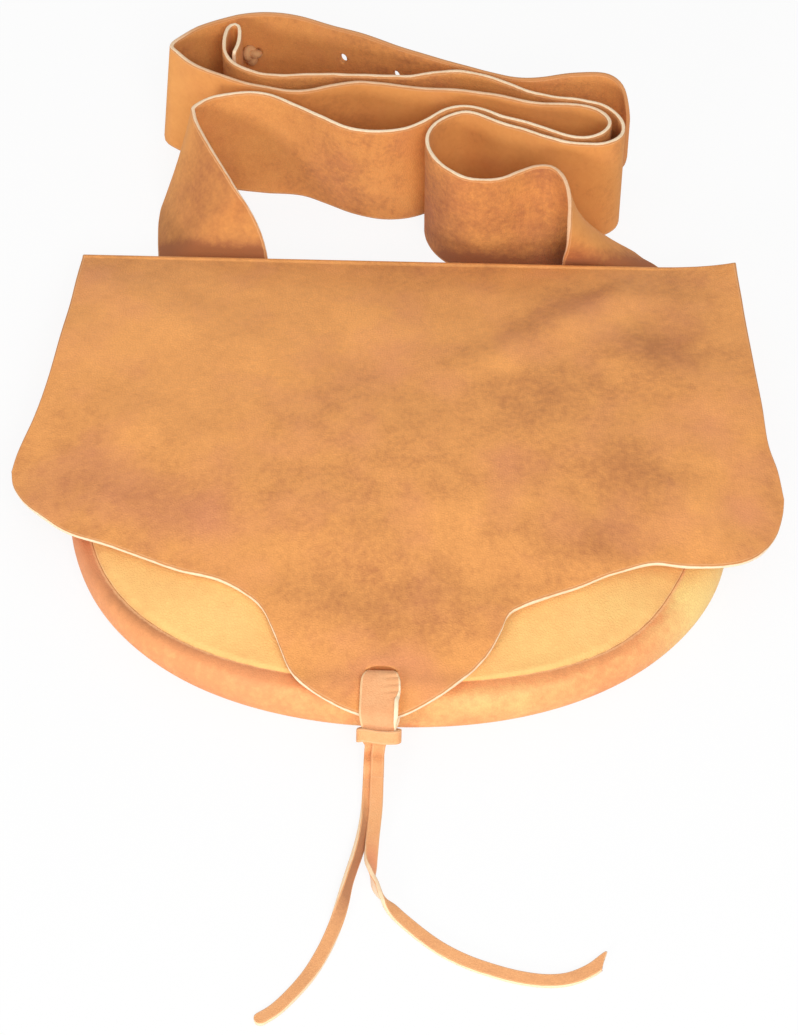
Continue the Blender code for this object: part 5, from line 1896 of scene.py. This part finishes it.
LEFT_STRAP = StandingStrap(
    "strap_left_leather", "strap_left", Side.LEFT, -84.0,
    (
        (-84.0, 3.4, 4.6, 8.0), (-85.4, 9.4, 3.0, 24.0), (-88.6, 16.0, 1.6, 41.0),
        (-91.6, 25.0, 0.3, 51.0), (-95.4, 36.0, 0.0, 59.0), (-98.8, 48.0, 0.0, 66.0),
        (-100.4, 57.5, 0.0, 71.0), (-99.4, 65.8, 0.0, 75.0), (-93.6, 71.6, 0.0, 78.0),
        (-85.0, 74.8, 0.0, 82.0), (-72.0, 75.0, 0.0, 86.0),
        *upright(
            (-61.0, 71.2), (-50.0, 64.8), (-40.0, 57.8), (-29.0, 51.2), (-16.0, 49.0), (-5.0, 51.2),
            (4.0, 57.0), (13.0, 64.6), (21.0, 67.0), (28.5, 65.2), (36.0, 61.0), (45.0, 57.6),
            (54.0, 53.2), (63.0, 49.4), (71.5, 48.4), (78.0, 51.4), (81.0, 57.2), (79.0, 63.8),
            (73.0, 68.3), (63.0, 69.9), (51.0, 70.2), (42.0, 71.8), (32.0, 75.2), (19.0, 77.6),
            (6.0, 78.4), (-6.0, 79.6), (-17.0, 81.6), (-25.5, 82.2), (-36.0, 78.8), (-46.0, 75.2),
            (-55.0, 74.8), (-64.0, 77.4), (-75.0, 80.6), (-86.0, 85.6),
        ),
        (-97.0, 92.0, 0.0, 88.0), (-104.6, 98.0, 0.0, 85.0), (-108.4, 102.4, 0.0, 84.0),
        (-107.8, 107.4, 0.0, 84.0), (-103.0, 112.0, 0.0, 86.0),
        *upright(
            (-95.0, 117.2), (-86.0, 122.6), (-77.0, 126.4), (-65.0, 127.4), (-51.0, 124.8),
            (-34.0, 117.8), (-17.0, 110.2), (-4.0, 103.6), (8.0, 98.2), (20.0, 93.8), (31.0, 89.8),
            (42.0, 87.0), (53.0, 87.2), (66.0, 89.8), (78.0, 90.6), (86.0, 86.0), (90.0, 78.0),
        ),
    ),
    grain_out=True, round_tip=True, seed=2,
    paleness=((0, 0.7), (10, 0.8), (12, 1.0), (29, 1.0), (33, 0.7), (38, 0.5), (44, 0.5), (47, 0.45),
              (49, 0.9), (51, 0.7), (53, 0.15), (66, 0.05)),
    kicks=(0.0, 0.5, 2.4, 6.2, 7.9, 8.0, 3.8, -2.4, -4.6, -5.4, -3.9, -2.0, 0.2, 0.3, 0.0), foot_reach=26.0,
    # painted shade on the left leg, which faces up into the lamps, painted light on the run beside it where
    # the leg's shadow falls, and painted shadow low in the gap between the inner runs, up to 26 mm above the
    # table
    shades=((6.6, 3.0, -0.85), (14.5, 3.0, 0.25)), foot_shades=((40.0, 4.5, -1.3),),
    holes=((57.5, 15.0), (83.5, 15.0), (109.5, 15.0), (135.5, 15.0), TIE_HOLE),
)
RIGHT_STRAP = StandingStrap(
    "strap_right_leather", "strap_right", Side.RIGHT, 84.5,
    (
        (84.6, 3.4, 4.6, 8.0), (84.2, 9.4, 2.8, 26.0), (81.2, 15.0, 1.0, 45.0), (75.8, 21.0, 0.0, 58.0),
        (69.0, 26.0, 0.0, 71.0), (62.4, 29.0, 0.0, 81.0), (56.0, 29.8, 0.0, 88.0),
        *upright(
            (49.0, 28.6), (43.0, 25.2), (37.0, 21.4), (29.0, 19.8), (20.0, 21.8), (12.0, 28.2),
            (7.0, 36.6), (5.2, 45.6), (7.2, 53.4), (12.0, 59.0), (17.0, 62.2), (21.5, 63.0),
            (27.0, 61.2), (34.0, 57.2), (43.5, 53.6), (52.5, 49.2), (62.0, 45.2), (72.0, 43.6),
            (80.0, 45.0), (85.4, 50.0), (86.6, 57.0), (83.6, 64.6), (77.5, 70.2), (69.0, 73.0),
            (57.0, 74.8), (46.0, 79.0), (36.0, 84.4), (27.0, 88.2), (18.0, 90.2), (8.0, 88.8),
            (-4.0, 86.0), (-16.0, 86.0), (-36.0, 86.6), (-61.0, 85.4), (-71.0, 88.0), (-78.0, 92.4),
            (-82.4, 98.6), (-83.6, 106.0), (-83.2, 113.6), (-82.2, 117.6), (-80.2, 119.4),
            (-78.2, 117.8), (-77.4, 113.0), (-77.6, 106.0), (-79.0, 99.8),
        ),
    ),
    grain_out=False, round_tip=False, seed=5,
    # painted shade on the right part of the front loop, which faces away from the key lamp
    kicks=(0.0, 0.0, 2.4, 6.0, -2.4, -9.0, -8.8, -7.4, -4.4, -1.6, 0.0), shades=((9.0, 1.7, -0.7),),
    top_kicks=(2.6, 0.6, -3.6, -4.0, -2.4, -1.2, 0.0), kicks_from=3,
    paleness=((0, 0.4), (10, 0.5), (14, 1.0), (34, 0.95), (44, 0.7), (50, 1.0)),
)


@dataclass
class StrapTie:
    """The thong that ties the two straps together: a knot on each side of the hole."""

    strap: StandingStrap
    thong: float = 1.75
    knot: float = 1.0
    knot_depth: float = 1.5
    knot_points: int = 72
    front_gap: float = 3.6
    front_turn: float = 20.0
    back_gap: float = 2.0
    back_turn: float = 75.0
    aside: Row = (-2.6, 0.0, 1.6)

    def knot_path(self, centre: Array, axis: Array, turn: float) -> Array:
        """Work out an overhand knot: x = sin t + 2 sin 2t, y = cos t - 2 cos 2t, z = -sin 3t, scaled.

        Args:
            centre: The knot's middle.
            axis: The direction through the hole.
            turn: How far it is turned about that direction, in degrees.

        Returns:
            The closed knot's points.
        """
        t = np.linspace(0.0, 2 * math.pi, self.knot_points, endpoint=False)
        u, v, w = np.sin(t) + 2 * np.sin(2 * t), np.cos(t) - 2 * np.cos(2 * t), -np.sin(3 * t)
        a = math.radians(turn)
        up = np.array(UP)
        side = np.cross(up, axis)
        first = side * math.cos(a) + up * math.sin(a)
        second = up * math.cos(a) - side * math.sin(a)
        knot = u[:, None] * first + v[:, None] * second + self.knot_depth * w[:, None] * axis
        return centre + self.knot * knot

    def tube(self, name: str, path: Array, closed: bool) -> Piece:
        """Carry a round section along a path.

        Args:
            name: The object's name.
            path: Its points, in the bag's frame.
            closed: Whether the path's end meets its start.

        Returns:
            The tube, as a mesh.
        """
        curve = bpy.data.curves.new(name, "CURVE")
        curve.dimensions = "3D"
        curve.bevel_depth = self.thong * MM
        curve.bevel_resolution = 3
        curve.use_fill_caps = True
        line = curve.splines.new("POLY")
        line.points.add(len(path) - 1)
        line.points.foreach_set("co", np.column_stack([to_metres(path), np.ones(len(path))]).ravel())
        line.use_cyclic_u = closed
        thing = add_object(name, curve)
        bpy.context.view_layer.update()
        mesh = bpy.data.meshes.new_from_object(thing)
        bpy.data.objects.remove(thing)
        mesh.polygons.foreach_set("use_smooth", np.ones(len(mesh.polygons), bool))
        mesh.materials.clear()
        mesh.materials.append(THONG_LEATHER.skin(False))
        return add_object(name, mesh)

    def make(self) -> None:
        """Build the two knots and the stem between them, joined as one thong."""
        point, through = self.strap.place(*TIE_HOLE)
        front = point - through * (STRAP_T / 2 + self.front_gap) + np.array(self.aside)
        back = point + through * (STRAP_T / 2 + self.back_gap)
        stem = np.linspace(front, back, 8)
        parts = [
            self.tube("thong_knot_front", self.knot_path(front, through, self.front_turn), True),
            self.tube("thong_knot_back", self.knot_path(back, through, self.back_turn), True),
            self.tube("strap_tie_thong", stem, False),
        ]
        with bpy.context.temp_override(active_object=parts[-1], selected_editable_objects=parts,
                                       selected_objects=parts):
            bpy.ops.object.join()
        dress(parts[-1], Body.BAG, "thong", "strap_tie")
        log.info("strap_tie_thong: %d faces", len(parts[-1].data.polygons))


@dataclass(frozen=True)
class Lamp:
    """A square soft lamp: where it hangs, its power in watts and its side, in metres."""

    name: str
    place: Row
    power: float
    size: float

    def hang(self, target: Row) -> None:
        """Hang the lamp so that it faces its target.

        Args:
            target: The place that it faces, in metres.
        """
        data = bpy.data.lights.new(self.name, "AREA")
        data.energy, data.size = self.power, self.size
        thing = add_object(self.name, data)
        thing.location = self.place
        thing.rotation_euler = (Vector(target) - Vector(self.place)).to_track_quat("-Z", "Y").to_euler()


@dataclass
class Studio:
    """The pale floor, the soft lights and the camera, in metres."""

    elevation: float = 47.2
    azimuth: float = 1.9
    camera_place: Row = (0.0235, -0.7472, 0.7943)
    focal_pixels: float = 2799.0
    photo_height: float = 1035.0
    sensor: float = 36.0
    floor_half: float = 4.0
    floor_grey: float = 0.93
    floor_glow: float = 0.88
    fill: float = 0.54
    target: Row = (0.0, 0.05, 0.02)
    lamps: tuple[Lamp, ...] = (
        Lamp("key", (-0.95, -1.75, 0.5), 14.0, 0.4), Lamp("fill", (0.35, -1.4, 1.3), 20.0, 0.9),
    )

    def camera(self) -> None:
        """Set the camera at the photograph's angle, with its long side's view from its focal length."""
        e, a = math.radians(self.elevation), math.radians(self.azimuth)
        ahead = Vector((-math.sin(a) * math.cos(e), math.cos(a) * math.cos(e), -math.sin(e)))
        right = Vector((math.cos(a), math.sin(a), 0.0))
        turn = Matrix((right, right.cross(ahead), -ahead)).transposed().to_4x4()
        turn.translation = Vector(self.camera_place)
        data = bpy.data.cameras.new("camera")
        data.lens = self.focal_pixels / self.photo_height * self.sensor
        data.sensor_width = self.sensor
        data.clip_start = 0.01
        thing = add_object("camera", data)
        thing.matrix_world = turn
        bpy.context.scene.camera = thing

    def floor(self) -> None:
        """Lay a pale floor that keeps the bag's soft shadow and shows as white to the camera."""
        h = self.floor_half
        mesh = bpy.data.meshes.new("floor")
        mesh.from_pydata([(-h, -h, 0.0), (h, -h, 0.0), (h, h, 0.0), (-h, h, 0.0)], [], [(0, 1, 2, 3)])
        made, w, shader = open_material("floor_paper")
        shader.inputs["Base Color"].default_value = (*3 * (self.floor_grey,), 1.0)
        shader.inputs["Roughness"].default_value = 0.9
        glow = w.add("Emission", {"Color": (1.0, 1.0, 1.0, 1.0), "Strength": 1.0})
        share = w.math("MULTIPLY", w.seen(), self.floor_glow)
        mixed = w.add("MixShader", {0: share, 1: shader.outputs[0], 2: glow.outputs[0]})
        w.feed(made.node_tree.nodes["Material Output"].inputs["Surface"], mixed.outputs[0])
        mesh.materials.append(made)
        add_object("floor", mesh)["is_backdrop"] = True

    def world(self) -> None:
        """Fill with plain soft light, and show white to the camera and to gloss."""
        world = bpy.data.worlds.new("studio")
        world.use_nodes = True
        w = Wiring(world.node_tree)
        back = world.node_tree.nodes["Background"]
        back.inputs["Color"].default_value = (1.0, 1.0, 1.0, 1.0)
        w.feed(back.inputs["Strength"], w.math("MULTIPLY_ADD", w.seen(), 1.0 - self.fill, self.fill))
        bpy.context.scene.world = world

    def make(self) -> None:
        """Build the whole studio."""
        self.camera()
        self.floor()
        self.world()
        for lamp in self.lamps:
            lamp.hang(self.target)
        bpy.context.scene.view_settings.view_transform = "Standard"


def keep_sizes() -> None:
    """Work out the solids' box and the dressed model's box, as plain lists of numbers."""
    boxes = {"cad": cad_box, "visual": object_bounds()}
    plain = {name: [[float(v) for v in corner] for corner in box] for name, box in boxes.items()}


def main() -> None:
    """Build the studio, the cords and then the bag, piece by piece."""
    logging.basicConfig(level=logging.INFO, format="%(message)s")
    parts = (
        Studio(), LEFT_TAIL, RIGHT_TAIL, Closure(), FrontFlap(), BagBody(), LEFT_STRAP, RIGHT_STRAP,
        StrapTie(LEFT_STRAP),
    )
    for part in parts:
        part.make()
    keep_sizes()


if __name__ == "__main__":
    main()
